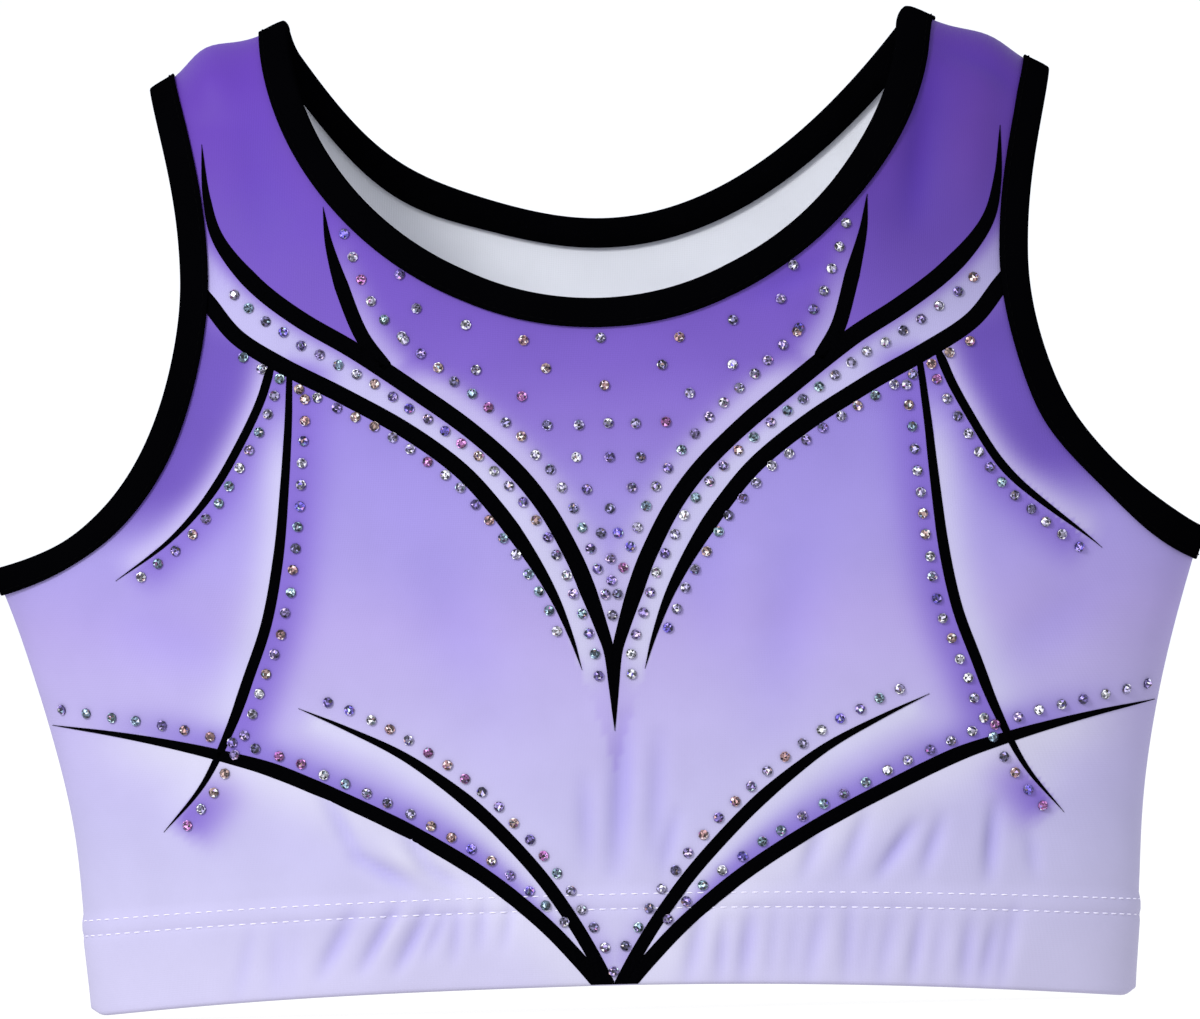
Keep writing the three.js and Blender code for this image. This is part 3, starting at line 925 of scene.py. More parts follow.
@dataclass(frozen=True)
class Ground:
    """A plain pale studio floor, lit a little from within so that no hard shadow falls on it."""

    name: str
    colour: Colour = (97.18, 97.18, 97.18)

    def build(self) -> Material:
        """Makes the material."""
        s = Shader(self.name, 0.9)
        place = s.place()
        grain = s.noise(place, 40 * MM, 2)
        s.colour(self.colour, s.ranged(grain, 0.99, 1.0))
        s.set(Specular_IOR_Level=0.0, Emission_Color=(1, 1, 1, 1), Emission_Strength=0.95)
        return s.material


# ---- The printed design ----


@dataclass
class Stroke:
    """A black brush line of the motif on the right half, as (x, height) points, with tapered ends."""

    points: list[Point]
    width: float  # at its widest
    taper_in: float
    taper_out: float
    start_share: float = 0.0  # of the width left at the start
    end_share: float = 0.0
    line: Array | None = None

    def __post_init__(self) -> None:
        """Draws the smooth middle line."""
        rough = spline(self.points)
        self.line = resampled(rough, max(int(lengths(rough)[-1] / 0.8), 8))

    def half_widths(self) -> Array:
        """Half the width at each point of the line."""
        along = lengths(self.line)
        rise = np.clip(along / self.taper_in, 0, 1) ** 0.8
        fall = np.clip((along[-1] - along) / self.taper_out, 0, 1) ** 0.8
        rise = self.start_share + (1 - self.start_share) * rise
        fall = self.end_share + (1 - self.end_share) * fall
        return np.maximum(self.width / 2 * rise * fall, 0.06)

    def beside(self, x: Array, z: Array) -> tuple[Array, Array, Array]:
        """Where points lie from the line.

        Args:
            x: places across; the line is on the right, so these are 0 or more.
            z: their heights.
        Returns:
            Signed distance (above 0 on the left of the line's direction), share of the way along,
            and how far past the line's end or start.
        """
        tree = kdtree.KDTree(len(self.line))
        for i, (px, pz) in enumerate(self.line):
            tree.insert((px, pz, 0), i)
        tree.balance()
        found = [tree.find((px, pz, 0))[1:] for px, pz in zip(x, z)]
        index = np.array([f[0] for f in found])
        away = np.array([f[1] for f in found])
        tangent = unit(np.gradient(self.line, axis=0))[index]
        offset = np.stack([x, z], axis=1) - self.line[index]
        cross = tangent[:, 0] * offset[:, 1] - tangent[:, 1] * offset[:, 0]
        last = len(self.line) - 1
        ends = (index == 0) | (index == last)
        past = np.where(ends, np.abs(np.sum(tangent * offset, axis=1)), 0)
        return np.where(cross >= 0, away, -away), index / last, past

    def offset(self, start: float, end: float, outs: tuple, pitch: float) -> Array:
        """Even places beside the line.

        Args:
            start: how far along the line they begin.
            end: how far along they end.
            outs: their distances from the line, evenly from start to end; above 0 is on its left.
            pitch: from one to the next.
        Returns:
            The places as (x, height).
        """
        along = lengths(self.line)
        wanted = np.arange(start, end, 0.25)
        middle = np.stack([np.interp(wanted, along, c) for c in self.line.T], axis=1)
        tangent = unit(np.gradient(middle, axis=0))
        normal = np.stack([-tangent[:, 1], tangent[:, 0]], axis=1)
        shift = np.interp(wanted, np.linspace(start, end, len(outs)), outs)
        run = middle + normal * shift[:, None]
        total = lengths(run)[-1]
        return resampled(run, int(total / pitch) + 1)


@dataclass
class Glow:
    """An airbrushed tint along one side of a stroke."""

    stroke: str
    side: int  # 1 on the left of the stroke's direction, -1 on its right
    tint: Colour
    strength: float
    reach: float
    sharpness: float = 2
    fade_in: float = 0.0  # share of the stroke over which it comes in
    fade_out: float = 0.0
    past: float = 4.0  # how far it spills round the ends


@dataclass
class Design:
    """The motif and the shaded ground of the printed cloth, mirrored about the middle."""

    stone_pitch: float = 6.56
    strokes: dict = field(default_factory=dict)
    glows: list = field(default_factory=list)

    def __post_init__(self) -> None:
        """Lists the strokes and their glows."""
        self.strokes = {
            "yoke": Stroke(
                [
                    (127.4, 279), (126.2, 262), (122.5, 248), (112, 234), (98, 222.5), (80, 211.5),
                    (61, 198.5), (44, 186), (30, 173), (20, 160), (12, 145), (7.6, 134), (3.5, 122),
                    (1.3, 114), (0.6, 103), (0, 89),
                ],
                5.4, 46, 46, 0, 0,
            ),
            "horn": Stroke(
                [(90, 258), (88.4, 246), (84.5, 232), (78.5, 217), (70.5, 206)],
                4.6, 26, 1, 0, 0.9,
            ),
            "band": Stroke(
                [
                    (132, 235), (126.5, 228.5), (117.5, 217), (103, 207.5), (84, 197.5), (64, 186),
                    (47.5, 173.5), (36, 160.5), (26, 146), (18.5, 132.5), (13.3, 119.5), (10, 108.7),
                ],
                5.2, 4, 50, 0.75, 0,
            ),
            "fork": Stroke(
                [(107, 207.4), (111, 196), (118, 183.5), (129, 168), (143, 153.5), (158.5, 141.2)],
                2.9, 3, 42, 0.7, 0,
            ),
            "rib": Stroke(
                [
                    (101.2, 204.3), (101.8, 188), (103.5, 168), (106, 146), (110, 126), (116, 109),
                    (122, 93), (131, 75), (143.4, 59.6),
                ],
                3.5, 60, 50, 0.55, 0,
            ),
            "sweep": Stroke(
                [
                    (176.3, 94.8), (157, 91.4), (139, 87.5), (123, 83.3), (108, 78.5), (88, 69.5),
                    (68, 59.5), (50, 49), (36, 39.3), (22, 27.5), (11, 16), (2.5, 6),
                ],
                4.7, 70, 2, 0, 1,
            ),
            "leaf": Stroke(
                [
                    (100.5, 98.5), (86, 92), (70, 84), (58, 76), (45, 65.5), (33, 53.5), (23, 42),
                    (14, 29.5), (7, 18), (1.2, 7),
                ],
                4.2, 62, 2, 0, 1,
            ),
        }
        pale, violet = (214, 210, 245), (136, 110, 213)
        self.glows = [
            Glow("fork", 1, (204, 195, 241), 0.95, 6.0, 2, 0.0, 0.12, 3),
            Glow("fork", -1, violet, 0.85, 10.5, 2.6, 0.0, 0.15, 3),
            Glow("rib", 1, pale, 0.95, 9.0, 2, 0.22, 0.1),
            Glow("rib", -1, violet, 0.95, 12.5, 3, 0.0, 0.06, 5),
            Glow("sweep", -1, (140, 119, 215), 0.95, 9.0, 2.6, 0.28, 0.05),
            Glow("sweep", 1, (224, 221, 246), 0.92, 12.0, 2.2, 0.2, 0.0, 5),
            Glow("leaf", 1, (218, 215, 245), 0.95, 6.5, 3, 0.06, 0.0, 4),
            Glow("leaf", -1, (210, 204, 243), 0.5, 7.0, 2, 0.4, 0.0, 4),
            Glow("horn", -1, (190, 180, 233), 0.85, 7.4, 3, 0.9, 0.0, 3),
        ]

    def ground(self, z: Array, stops: list[tuple]) -> Array:
        """The shaded ground at each height, from (height, colour) stops."""
        heights = [h for h, _ in stops]
        return np.stack([np.interp(z, heights, [c[i] for _, c in stops]) for i in range(3)], axis=-1)

    @property
    def body_ground(self) -> list[tuple]:
        """The ground of the body, from the hem up."""
        return [
            (0, (213, 208, 242)), (15, (212, 207, 242)), (40, (207, 202, 241)), (62, (202, 196, 240)),
            (87, (198, 189, 239)), (108, (193, 181, 237)), (125, (187, 172, 235)), (145, (176, 162, 233)),
            (164, (168, 153, 230)), (183, (159, 142, 225)), (202, (148, 127, 217)), (222, (134, 107, 206)),
            (250, (112, 78, 191)), (275, (106, 67, 184)), (318, (104, 63, 181)),
        ]

    @property
    def yoke_ground(self) -> list[tuple]:
        """The ground above the band, darker than the body beside it."""
        return [
            (120, (190, 177, 236)), (142, (178, 164, 232)), (160, (163, 147, 225)), (178, (149, 127, 216)),
            (192, (139, 113, 209)), (206, (127, 98, 201)), (222, (119, 88, 195)), (238, (114, 81, 192)),
            (254, (108, 73, 188)), (272, (106, 67, 184)), (318, (104, 63, 181)),
        ]

    def front(self, x: Array, z: Array) -> Array:
        """Colours of the front panel at places across and heights as seen, from 0 to 255, with painted shade
        on the right strap.
        """
        # Painted shade: the right strap is darker, as the light falls from the left.
        right_strap_painted_shade = smooth(66, 104, x) * smooth(196, 250, z)
        x = np.abs(x)
        colour = self.ground(z, self.body_ground)
        from_band, _, past_band = self.strokes["band"].beside(x, z)
        from_yoke, _, _ = self.strokes["yoke"].beside(x, z)
        above = smooth(0.8, -0.8, from_band)[:, None]
        colour += (self.ground(z, self.yoke_ground) - colour) * above

        def tint(target: Array, weight: Array) -> None:
            """Blends the colours towards a target."""
            nonlocal colour
            colour = colour + (np.asarray(target, float) - colour) * np.clip(weight, 0, 1)[:, None]

        # The dark corner between the fork and the armhole.
        from_fork, _, past_fork = self.strokes["fork"].beside(x, z)
        corner = smooth(-0.8, 0.8, from_fork) * smooth(-0.8, 0.8, from_band)
        corner = corner * smooth(148, 172, z) * np.exp(-((past_fork / 9) ** 2))
        tint((108, 80, 186), 0.9 * corner * smooth(101, 108, x))

        # The pale band between the two heavy strokes.
        within = smooth(-0.5, 7, from_yoke) * smooth(0.8, -0.8, from_band) * smooth(92, 118, z)
        within = within * np.exp(-((past_band / 12) ** 2)) * smooth(282, 222, z)
        pale = [(110, (213, 210, 242)), (170, (208, 204, 241)), (215, (197, 191, 238))]
        tint(self.ground(z, pale), 0.97 * within)

        # The halo of the stones beside the yoke stroke.
        past_horn = smooth(212, 198, z) * smooth(90, 66, x)
        halo = np.exp(-np.maximum((-from_yoke - 4.5) / 5.0, 0) ** 2) * smooth(0.8, -0.8, from_yoke)
        tint((200, 192, 237), 0.9 * halo * past_horn)

        for glow in self.glows:
            away, share, past = self.strokes[glow.stroke].beside(x, z)
            on_side = smooth(-0.8, 0.8, away * glow.side)
            weight = glow.strength * np.exp(-((np.abs(away) / glow.reach) ** glow.sharpness)) * on_side
            if glow.fade_in:
                weight = weight * smooth(0, glow.fade_in, share)
            if glow.fade_out:
                weight = weight * smooth(1, 1 - glow.fade_out, share)
            tint(glow.tint, weight * np.exp(-((past / glow.past) ** 2)))
        # The painted shade darkens the right strap by up to 13 percent.
        return colour * (1 - 0.13 * right_strap_painted_shade[:, None])

    def back(self, x: Array, z: Array) -> Array:
        """Colours of the back panel, which is plain but for the shaded ground."""
        return self.ground(z, self.body_ground) + 0 * x[:, None]

    def stone_rows(self) -> dict[str, Array]:
        """The rows of stones beside the strokes, on the right half, as (x, height)."""
        yoke, band, horn = self.strokes["yoke"], self.strokes["band"], self.strokes["horn"]
        fork, rib = self.strokes["fork"], self.strokes["rib"]
        sweep, leaf = self.strokes["sweep"], self.strokes["leaf"]
        pitch = self.stone_pitch
        return {
            "horn": horn.offset(10, 52, (-5.4, -6.9, -10.2), pitch),
            "yoke": yoke.offset(99, 192, (-11.2, -9.4, -9.0, -7.6, -5.8), pitch),
            "band": yoke.offset(47, 225, (6.9, 6.4, 5.4, 4.9, 4.6, 4.5, 4.4), pitch),
            "underband": band.offset(28, 167, (4.3, 4.1, 3.5), pitch),
            "fork": fork.offset(8, 79, (-3.9, -4.0), pitch),
            "rib": rib.offset(7, 148, (-5.2, -5.4, -4.0), pitch),
            "sweep": sweep.offset(2, 174, (-5.4, -5.0, -4.8), pitch * 1.12),
            "leaf": leaf.offset(8, 126, (-5.5, -5.2, -4.3), pitch * 1.08),
        }

    def scattered_stones(self) -> Array:
        """The loose stones inside the yoke, closer towards its point, as (x, height) on both halves."""
        places = []
        rows = [
            (236, [66]), (225, [61]), (219, [45]), (214, [0, 26]), (205, [19, 42]), (199, [0]), (196, [27]),
            (187, [0, 9, 19]), (176, [0, 10]), (166, [7]), (160, [0]), (152, [2.8]), (144, [0]), (137, [0]),
            (132.6, [2]), (126, [0]),
        ]
        for height, across in rows:
            for x in across:
                places.append((x, height))
                if x > 0:
                    places.append((-x, height))
        return np.array(places, float)


# ---- Panels and lining ----


@dataclass
class ClothGrid:
    """A grid of places on one side of the form, cut to the panel's outline."""

    form: Form
    side: Side
    cell: float
    margin: float  # how far inside the free edge the cloth is cut

    def angles(self) -> Array:
        """Turns round the body from one side seam to the other, evenly spaced over the cloth."""
        wide = self.form.half_width(np.array(self.form.chest_height / 2))
        deep = self.form.depth(np.array(self.form.chest_height / 2), self.side)
        turn = np.linspace(-HALF_PI, HALF_PI, 2001)
        along = lengths(np.stack([wide * np.sin(turn), deep * np.cos(turn)], axis=1))
        count = 2 * round(along[-1] / self.cell / 2) + 1
        return np.interp(np.linspace(0, along[-1], count), along, turn)

    def heights(self, low: float, extra: list[float]) -> Array:
        """Heights of the rows below the chest, with close ones where they are asked for."""
        high = self.form.chest_height
        plain = np.linspace(low, high, round((high - low) / self.cell) + 1)
        kept = [z for z in plain if all(abs(z - e) > 0.4 * self.cell for e in extra)]
        return np.array(sorted([*kept, *extra]))

    def turns(self) -> Array:
        """Rows over the shoulder roll, above the chest row."""
        rise = self.form.shoulder_height - self.form.chest_height
        deep = float(self.form.depth(np.array(self.form.chest_height), self.side))
        turn = np.linspace(0, HALF_PI, 1001)
        along = lengths(np.stack([rise * np.sin(turn), deep * np.cos(turn)], axis=1))
        count = round(along[-1] / self.cell) + 1
        return np.interp(np.linspace(0, along[-1], count), along, turn)[1:]

    def rows(self, hem: list[tuple[float, float]], heights: Array, out: float) -> tuple[Array, Array, Array]:
        """Every grid point's place across, height and distance out.

        Args:
            hem: (height, out) rows before the plain ones, such as those of a turned hem.
            heights: the plain rows below the chest.
            out: how far out the plain rows lie.
        Returns:
            Three arrays with one row for each row of the grid.
        """
        form, sines = self.form, np.sin(self.angles())
        low = [(z, o) for z, o in hem] + [(z, out) for z in heights]
        x = [float(form.half_width(np.array(z))) * sines for z, _ in low]
        z = [np.full(len(sines), height) for height, _ in low]
        o = [np.full(len(sines), far) for _, far in low]
        chest = float(form.half_width(np.array(form.chest_height))) * sines
        for turn in self.turns():
            x.append(chest)
            z.append(form.chest_height + (form.shoulder_line(chest) - form.chest_height) * math.sin(turn))
            o.append(np.full(len(sines), out))
        return np.array(x), np.array(z), np.array(o)

    def cut(self, x: Array, z: Array) -> tuple[Array, Array, Array]:
        """Cuts the grid along a line inside the free edges.

        Args:
            x: places across, as a grid.
            z: heights, as a grid.
        Returns:
            Flat x and z with the cut edge's points moved onto the line, and the kept quads.
        """
        form = self.form
        shape = x.shape
        x, z = x.ravel().copy(), z.ravel().copy()
        inside = form.inside_edges(x, z, self.side) - self.margin
        quads = grid_faces(*shape)
        kept = quads[inside[quads].mean(axis=1) > 0]
        dropped = quads[inside[quads].mean(axis=1) <= 0]
        rim = np.intersect1d(kept.ravel(), dropped.ravel())
        for _ in range(3):
            step = 0.2
            here = form.inside_edges(x[rim], z[rim], self.side) - self.margin
            run_x = form.inside_edges(x[rim] + step, z[rim], self.side) - self.margin - here
            run_z = form.inside_edges(x[rim], z[rim] - step, self.side) - self.margin - here
            slope = np.stack([run_x, -run_z], axis=1) / step
            size = np.maximum(np.sum(slope**2, axis=1), 0.05)
            x[rim] -= np.clip(here * slope[:, 0] / size, -2, 2)
            z[rim] -= np.clip(here * slope[:, 1] / size, -2, 2)
            z[rim] = np.minimum(z[rim], form.shoulder_line(x[rim]))
        return x, z, kept


def compacted(points: Array, faces: Array, *others: Array) -> tuple:
    """Leaves out the points that no face uses, and the same rows of the other arrays."""
    used = np.unique(faces)
    number = np.zeros(len(points), int)
    number[used] = np.arange(len(used))
    return (points[used], number[faces], *(other[used] for other in others))


@dataclass
class Panel:
    """A printed panel: one sheet, turned up inside at the hem and round its fold to the outside."""

    form: Form
    design: Design
    side: Side
    fabric: float = 0.7
    cell: float = 1.75
    hem_fold: float = 3
    seam_gap: float = 0.15

    def hem_rows(self) -> list[tuple[float, float]]:
        """The turned-up leg inside and the fold at the bottom, as (height, out)."""
        radius = self.hem_fold / 2
        leg = [(z, -self.hem_fold) for z in np.linspace(self.form.hem_depth, radius, 14)]
        bends = np.linspace(math.pi, 0, 9)[1:-1]
        bend = [(radius - radius * math.sin(a), -radius + radius * math.cos(a)) for a in bends]
        return leg + bend

    def build(self, outside: Material, reverse: Material) -> Object:
        """Makes, paints and dresses the panel."""
        form = self.form
        grid = ClothGrid(form, self.side, self.cell, RAW_EDGE)
        stitched = [z + d for z in NEEDLE_ROWS for d in (-0.7, 0, 0.7)]
        heights = grid.heights(self.hem_fold / 2, stitched)
        x, z, out = grid.rows(self.hem_rows(), heights, 0)
        shape = x.shape
        flat_x, flat_z, quads = grid.cut(x, z)
        out = out.ravel() - self.stitch_dip(flat_z, out.ravel())
        points = form.lay(flat_x, flat_z, out, self.side)
        near_seam = np.abs(points[:, 1] - form.seam_plane) < self.seam_gap
        points[near_seam, 1] = form.seam_plane + self.side.value * self.seam_gap
        middle = points.reshape(*shape, 3)[:, shape[1] // 2]
        uv = cloth_places(np.arange(shape[1]) * self.cell, lengths(middle))
        points, quads, uv, colours = compacted(points, quads, uv, self.colours(flat_x, flat_z))
        if self.side is Side.BACK:
            quads = quads[:, ::-1]
        name = f"{self.side.name.lower()}_panel_cloth"
        piece = make_piece(name, points, quads, uv)
        paint(piece, "print", colours)
        dress(piece, outside, reverse)
        apply_modifier(
            piece, "SOLIDIFY", thickness=self.fabric * MM, offset=-1, use_even_offset=False,
            use_rim=True, material_offset=1, material_offset_rim=0,
        )
        seat(piece, "printed_fabric", f"{self.side.name.lower()}_panel")
        return piece

    def colours(self, x: Array, z: Array) -> Array:
        """The print at places across and up the form, with painted shade, a little deeper and bluer, in the
        grooves of the folds and painted light on their ridges.
        """
        shade = self.design.front if self.side is Side.FRONT else self.design.back
        y = self.form.on_form(x, z, self.side)[:, 1]
        crease = np.clip(self.form.drape.relief(x, y, z, self.side), -2.2, 1.2)
        # Painted shade in the fold grooves and painted light on the fold ridges.
        crease_painted_shade = 1 + np.array([0.06, 0.072, -0.015]) * crease[:, None]
        return linear(shade(x, z + self.form.lift(x, z))) * PRINT_STRENGTH * crease_painted_shade

    def stitch_dip(self, z: Array, out: Array) -> Array:
        """How far the needle threads pull the outer leg in."""
        dip = sum(0.32 * np.exp(-(((z - h) / 0.9) ** 2)) for h in NEEDLE_ROWS)
        return np.where(out > -0.1, dip, 0)


@dataclass
class Lining:
    """The white lining inside the front panel, from above the hem to the shoulders."""

    form: Form
    out: float = -1.0
    thickness: float = 0.5
    cell: float = 2.6
    low: float = 35.8

    def build(self, knit: Material) -> Object:
        """Makes and dresses the lining."""
        grid = ClothGrid(self.form, Side.FRONT, self.cell, RAW_EDGE)
        x, z, out = grid.rows([], grid.heights(self.low, []), self.out)
        shape = x.shape
        flat_x, flat_z, quads = grid.cut(x, z)
        points = self.form.lay(flat_x, flat_z, out.ravel(), Side.FRONT)
        near = np.abs(points[:, 1] - self.form.seam_plane) < 0.4
        points[near, 1] = self.form.seam_plane - 0.4
        uv = cloth_places(np.arange(shape[1]) * self.cell, np.arange(shape[0]) * self.cell)
        points, quads, uv = compacted(points, quads, uv)
        piece = make_piece("front_lining_cloth", points, quads, uv)
        dress(piece, knit)
        apply_modifier(piece, "SOLIDIFY", thickness=self.thickness * MM, offset=-1, use_rim=True)
        seat(piece, "lining", "front_lining")
        return piece


# ---- Bindings and elastics along the edges ----


@dataclass
class EdgePath:
    """Stations along a closed free edge, with the way into the cloth at each."""

    points: Array
    inwards: Array
    sides: list

    @classmethod
    def along(cls, form: Form, front: Array, back: Array, mirror: bool, step: float) -> "EdgePath":
        """Even stations over the front edge and back along the back edge.

        Args:
            form: what the edge lies on.
            front: the front edge as (x, z), from its start to the shoulder.
            back: the back edge likewise.
            mirror: whether the other half of a neck edge follows.
            step: the distance from one station to the next.
        Returns:
            The path.
        """
        points, inwards, sides = [], [], []
        for side, edge in ((Side.FRONT, front), (Side.BACK, back)):
            run = form.on_form(edge[:, 0], edge[:, 1], side)
            run = resampled(run, round(lengths(run)[-1] / step) + 1)
            run = form.settled(run, side)
            tangent = unit(np.gradient(run, axis=0))
            inward = unit(np.cross(form.normal(run, side), tangent))
            if side is Side.BACK:
                run, inward = run[::-1][1:], -inward[::-1][1:]
            points.append(run)
            inwards.append(inward)
            sides.extend([side] * len(run))
        points, inwards = np.vstack(points), np.vstack(inwards)
        if mirror:
            flip = np.array([-1, 1, 1])
            points = np.vstack([points, points[1:-1][::-1] * flip])
            inwards = np.vstack([inwards, inwards[1:-1][::-1] * flip])
            sides = sides + sides[1:-1][::-1]
        return cls(points, inwards, sides)

    def mirrored(self) -> "EdgePath":
        """The same path on the other half."""
        flip = np.array([-1, 1, 1])
        return EdgePath(self.points * flip, self.inwards * flip, self.sides)

    def place(self, form: Form, e: Array, out: Array) -> Array:
        """Points beside the edge.

        Args:
            form: what the edge lies on.
            e: distances from the edge for each station, below 0 is on the cloth.
            out: distances out from the cloth's face, likewise.
        Returns:
            An array of places, one for each station.
        """
        result = np.zeros_like(self.points)
        for side in Side:
            mask = np.array([s is side for s in self.sides])
            near = form.settled(self.points[mask] + self.inwards[mask] * e[mask, None], side)
            result[mask] = form.dressed(near, out[mask], side)
        return result

    def sweep(self, form: Form, section: list[Point], ripple: float = 0) -> tuple[Array, Array, Array]:
        """Carries a closed section of (e, out) points along the path.

        Args:
            form: what the edge lies on.
            section: the section's points.
            ripple: how much the outer leg swells between the stitches.
        Returns:
            Points, faces and a place on the cloth for each point.
        """
        count = len(self.points)
        along = lengths(np.vstack([self.points, self.points[:1]]))[:-1]
        columns, uv = [], []
        around = lengths(np.array([*section, section[0]]))
        for (e, out), girth in zip(section, around):
            swell = ripple * np.sin(along * 2 * math.pi / 3.1) * (out > 0) * (e < -1)
            columns.append(self.place(form, np.full(count, float(e)), out + swell))
            uv.append(np.stack([along, np.full(count, girth)], axis=1) * MM)
        points = np.stack(columns, axis=1).reshape(-1, 3)
        faces = grid_faces(count, len(section), close_rows=True, close_columns=True)
        return points, outward(points, faces), np.stack(uv, axis=1).reshape(-1, 2)


@dataclass
class Bindings:
    """Black knit strips folded over the neck and armhole edges, sewn through, with elastic inside."""

    form: Form
    width: float = 9.5
    thickness: float = 0.8
    gap: float = 0.55
    layers: float = 1.5
    step: float = 1.7
    elastic_width: float = 4
    elastic_thickness: float = 0.8
    stitch_pitch: float = 3.1

    def paths(self) -> dict[str, EdgePath]:
        """The three closed edges."""
        form = self.form
        neck = EdgePath.along(form, form.neck_edge(Side.FRONT), form.neck_edge(Side.BACK), True, self.step)
        armhole = form.armhole_edge()
        right = EdgePath.along(form, armhole, armhole, False, self.step)
        right = EdgePath(right.points[:-1], -right.inwards[:-1], right.sides[:-1])
        return {"neck": neck, "right_armhole": right, "left_armhole": right.mirrored()}

    def section(self) -> list[Point]:
        """The folded strip: down the outside, round the edge and up the inside, then back within."""
        outer = self.gap + self.thickness
        inner = -self.layers - outer
        middle = (outer + inner) / 2
        reach = (outer - inner) / 2
        bend = np.linspace(HALF_PI, -HALF_PI, 9)
        nose = [(-reach * 0.55 + reach * 0.55 * math.cos(a), middle + reach * math.sin(a)) for a in bend]
        crown = 0.16
        return [
            (-self.width, self.gap + 0.1),
            (-self.width, outer - 0.3),
            (-self.width + 0.25, outer - 0.05),
            (-self.width * 0.75, outer + crown * 0.2),
            (-self.width * 0.5, outer + crown),
            (-self.width * 0.28, outer + crown * 0.9),
            *nose,
            (-self.width * 0.5, inner - crown),
            (-self.width + 0.25, inner + 0.05),
            (-self.width, inner + 0.3),
            (-self.width, inner + self.thickness),
            (-self.width * 0.5, inner + self.thickness),
            (-self.thickness - 0.3, inner + self.thickness),
            (-self.thickness, middle),
            (-self.thickness - 0.3, self.gap),
            (-self.width * 0.5, self.gap),
        ]

    def build(self, knit: Material, thread: Material, elastic: Material) -> dict:
        """Makes and dresses the three bindings, their elastics and their stitches."""
        made = {}
        half = self.elastic_thickness / 2
        near, far = -self.thickness - self.gap, -self.thickness - self.gap - self.elastic_width
        middle = -self.layers / 2
        band = [
            (far, middle - half), (far, middle + half), ((near + far) / 2, middle + half + 0.05),
            (near, middle + half), (near, middle - half), ((near + far) / 2, middle - half - 0.05),
        ]
        stitch = stitch_model("binding_stitch_model", 2.1, 0.24)
        for name, path in self.paths().items():
            points, faces, uv = path.sweep(self.form, self.section(), ripple=0.05)
            piece = make_piece(f"{name}_binding_cloth", points, faces, uv)
            seat(piece, "binding", f"{name}_binding", finish=knit)
            made[name] = (piece, lengths(path.points)[-1])
            points, faces, uv = path.sweep(self.form, band)
            core = make_piece(f"{name}_edge_elastic", points, faces, uv)
            seat(core, "elastic", f"{name}_elastic", finish=elastic)
            self.stitches(name, path, stitch, thread)
        bpy.data.objects.remove(stitch)
        return made

    def stitches(self, name: str, path: EdgePath, model: Object, thread: Material) -> None:
        """A row of stitches near the binding's inner edge, seen from outside."""
        count = len(path.points)
        e = np.full(count, -self.width + 1.5)
        line = path.place(self.form, e, np.full(count, self.gap + self.thickness + 0.02))
        above = path.place(self.form, e, np.full(count, self.gap + self.thickness + 1.0))
        loop = np.vstack([line, line[:1]])
        along = lengths(loop)
        wanted = np.arange(0, along[-1] - self.stitch_pitch / 2, self.stitch_pitch)
        outs = np.vstack([above, above[:1]]) - loop
        sample = [np.stack([np.interp(wanted, along, c) for c in a.T], axis=1) for a in (loop, outs)]
        ahead = np.stack([np.interp(wanted + 0.5, along, c) for c in loop.T], axis=1)
        piece = copies(model, sample[0], ahead - sample[0], sample[1], f"{name}_binding_stitches")
        seat(piece, None, finish=thread)


def stitch_model(name: str, length: float, radius: float) -> Object:
    """One stitch of thread: a short strand whose ends dip into the cloth, along X.

    Args:
        name: of the model.
        length: of the stitch in millimetres.
        radius: of the thread.
    Returns:
        The model, whose own mesh is in metres.
    """
    deselect()
    bpy.ops.mesh.primitive_cylinder_add(
        vertices=6, radius=radius * MM, depth=length * MM, rotation=(0, HALF_PI, 0)
    )
    model = bpy.context.object
    model.name = name
    bpy.ops.object.transform_apply(location=False, rotation=True, scale=False)
    bpy.ops.object.mode_set(mode="EDIT")
    for share in (0, -0.3, 0.3):
        bpy.ops.mesh.select_all(action="SELECT")
        bpy.ops.mesh.bisect(plane_co=(share * length * MM, 0, 0), plane_no=(1, 0, 0))
    bpy.ops.object.mode_set(mode="OBJECT")
    for vertex in model.data.vertices:
        share = abs(vertex.co.x) / (length * MM / 2)
        vertex.co.y *= 1 - 0.45 * share**3
        vertex.co.z = vertex.co.z * (1 - 0.45 * share**3) + radius * MM * (0.55 - 1.5 * share**2)
    for polygon in model.data.polygons:
        polygon.use_smooth = True
    deselect()
    return model


# ---- Motif, crystals and hem stitching ----


@dataclass
class Motif:
    """The black strokes, as thin raised films on the front panel."""

    form: Form
    design: Design
    film: float = 0.27
    crown: tuple = ((-1, 0.25), (-0.93, 0.9), (-0.5, 1), (0, 1), (0.5, 1), (0.93, 0.9), (1, 0.25))

    def build(self, finish: Material) -> None:
        """Makes and dresses each stroke on both halves."""
        for name, stroke in self.design.strokes.items():
            for hand in Hand:
                points, faces = self.stroke(stroke, hand)
                piece = make_piece(f"{hand.name}_{name}_stroke", points, faces)
                seat(piece, None, finish=finish)

    def stroke(self, stroke: Stroke, hand: Hand) -> tuple[Array, Array]:
        """One stroke as a closed film: a low crown on top and a flat underside."""
        tangent = unit(np.gradient(stroke.line, axis=0))
        normal = np.stack([-tangent[:, 1], tangent[:, 0]], axis=1)
        half = stroke.half_widths()
        section = [(across, self.film * share) for across, share in self.crown]
        section += [(0.6, 0.02), (-0.6, 0.02)]
        columns = []
        for across, out in section:
            place = stroke.line + normal * (half * across)[:, None]
            x = np.maximum(place[:, 0], 0)
            z = np.maximum(self.form.unlifted(x, place[:, 1]), 0.4)
            columns.append(self.form.lay(x * hand.value, z, out, Side.FRONT))
        points = np.stack(columns, axis=1).reshape(-1, 3)
        rows, sides = len(stroke.line), len(section)
        faces = grid_faces(rows, sides, close_columns=True).tolist()
        faces.append(list(range(sides))[::-1])
        faces.append([(rows - 1) * sides + i for i in range(sides)])
        if hand is Hand.right:
            faces = [f[::-1] for f in faces]
        return points, faces


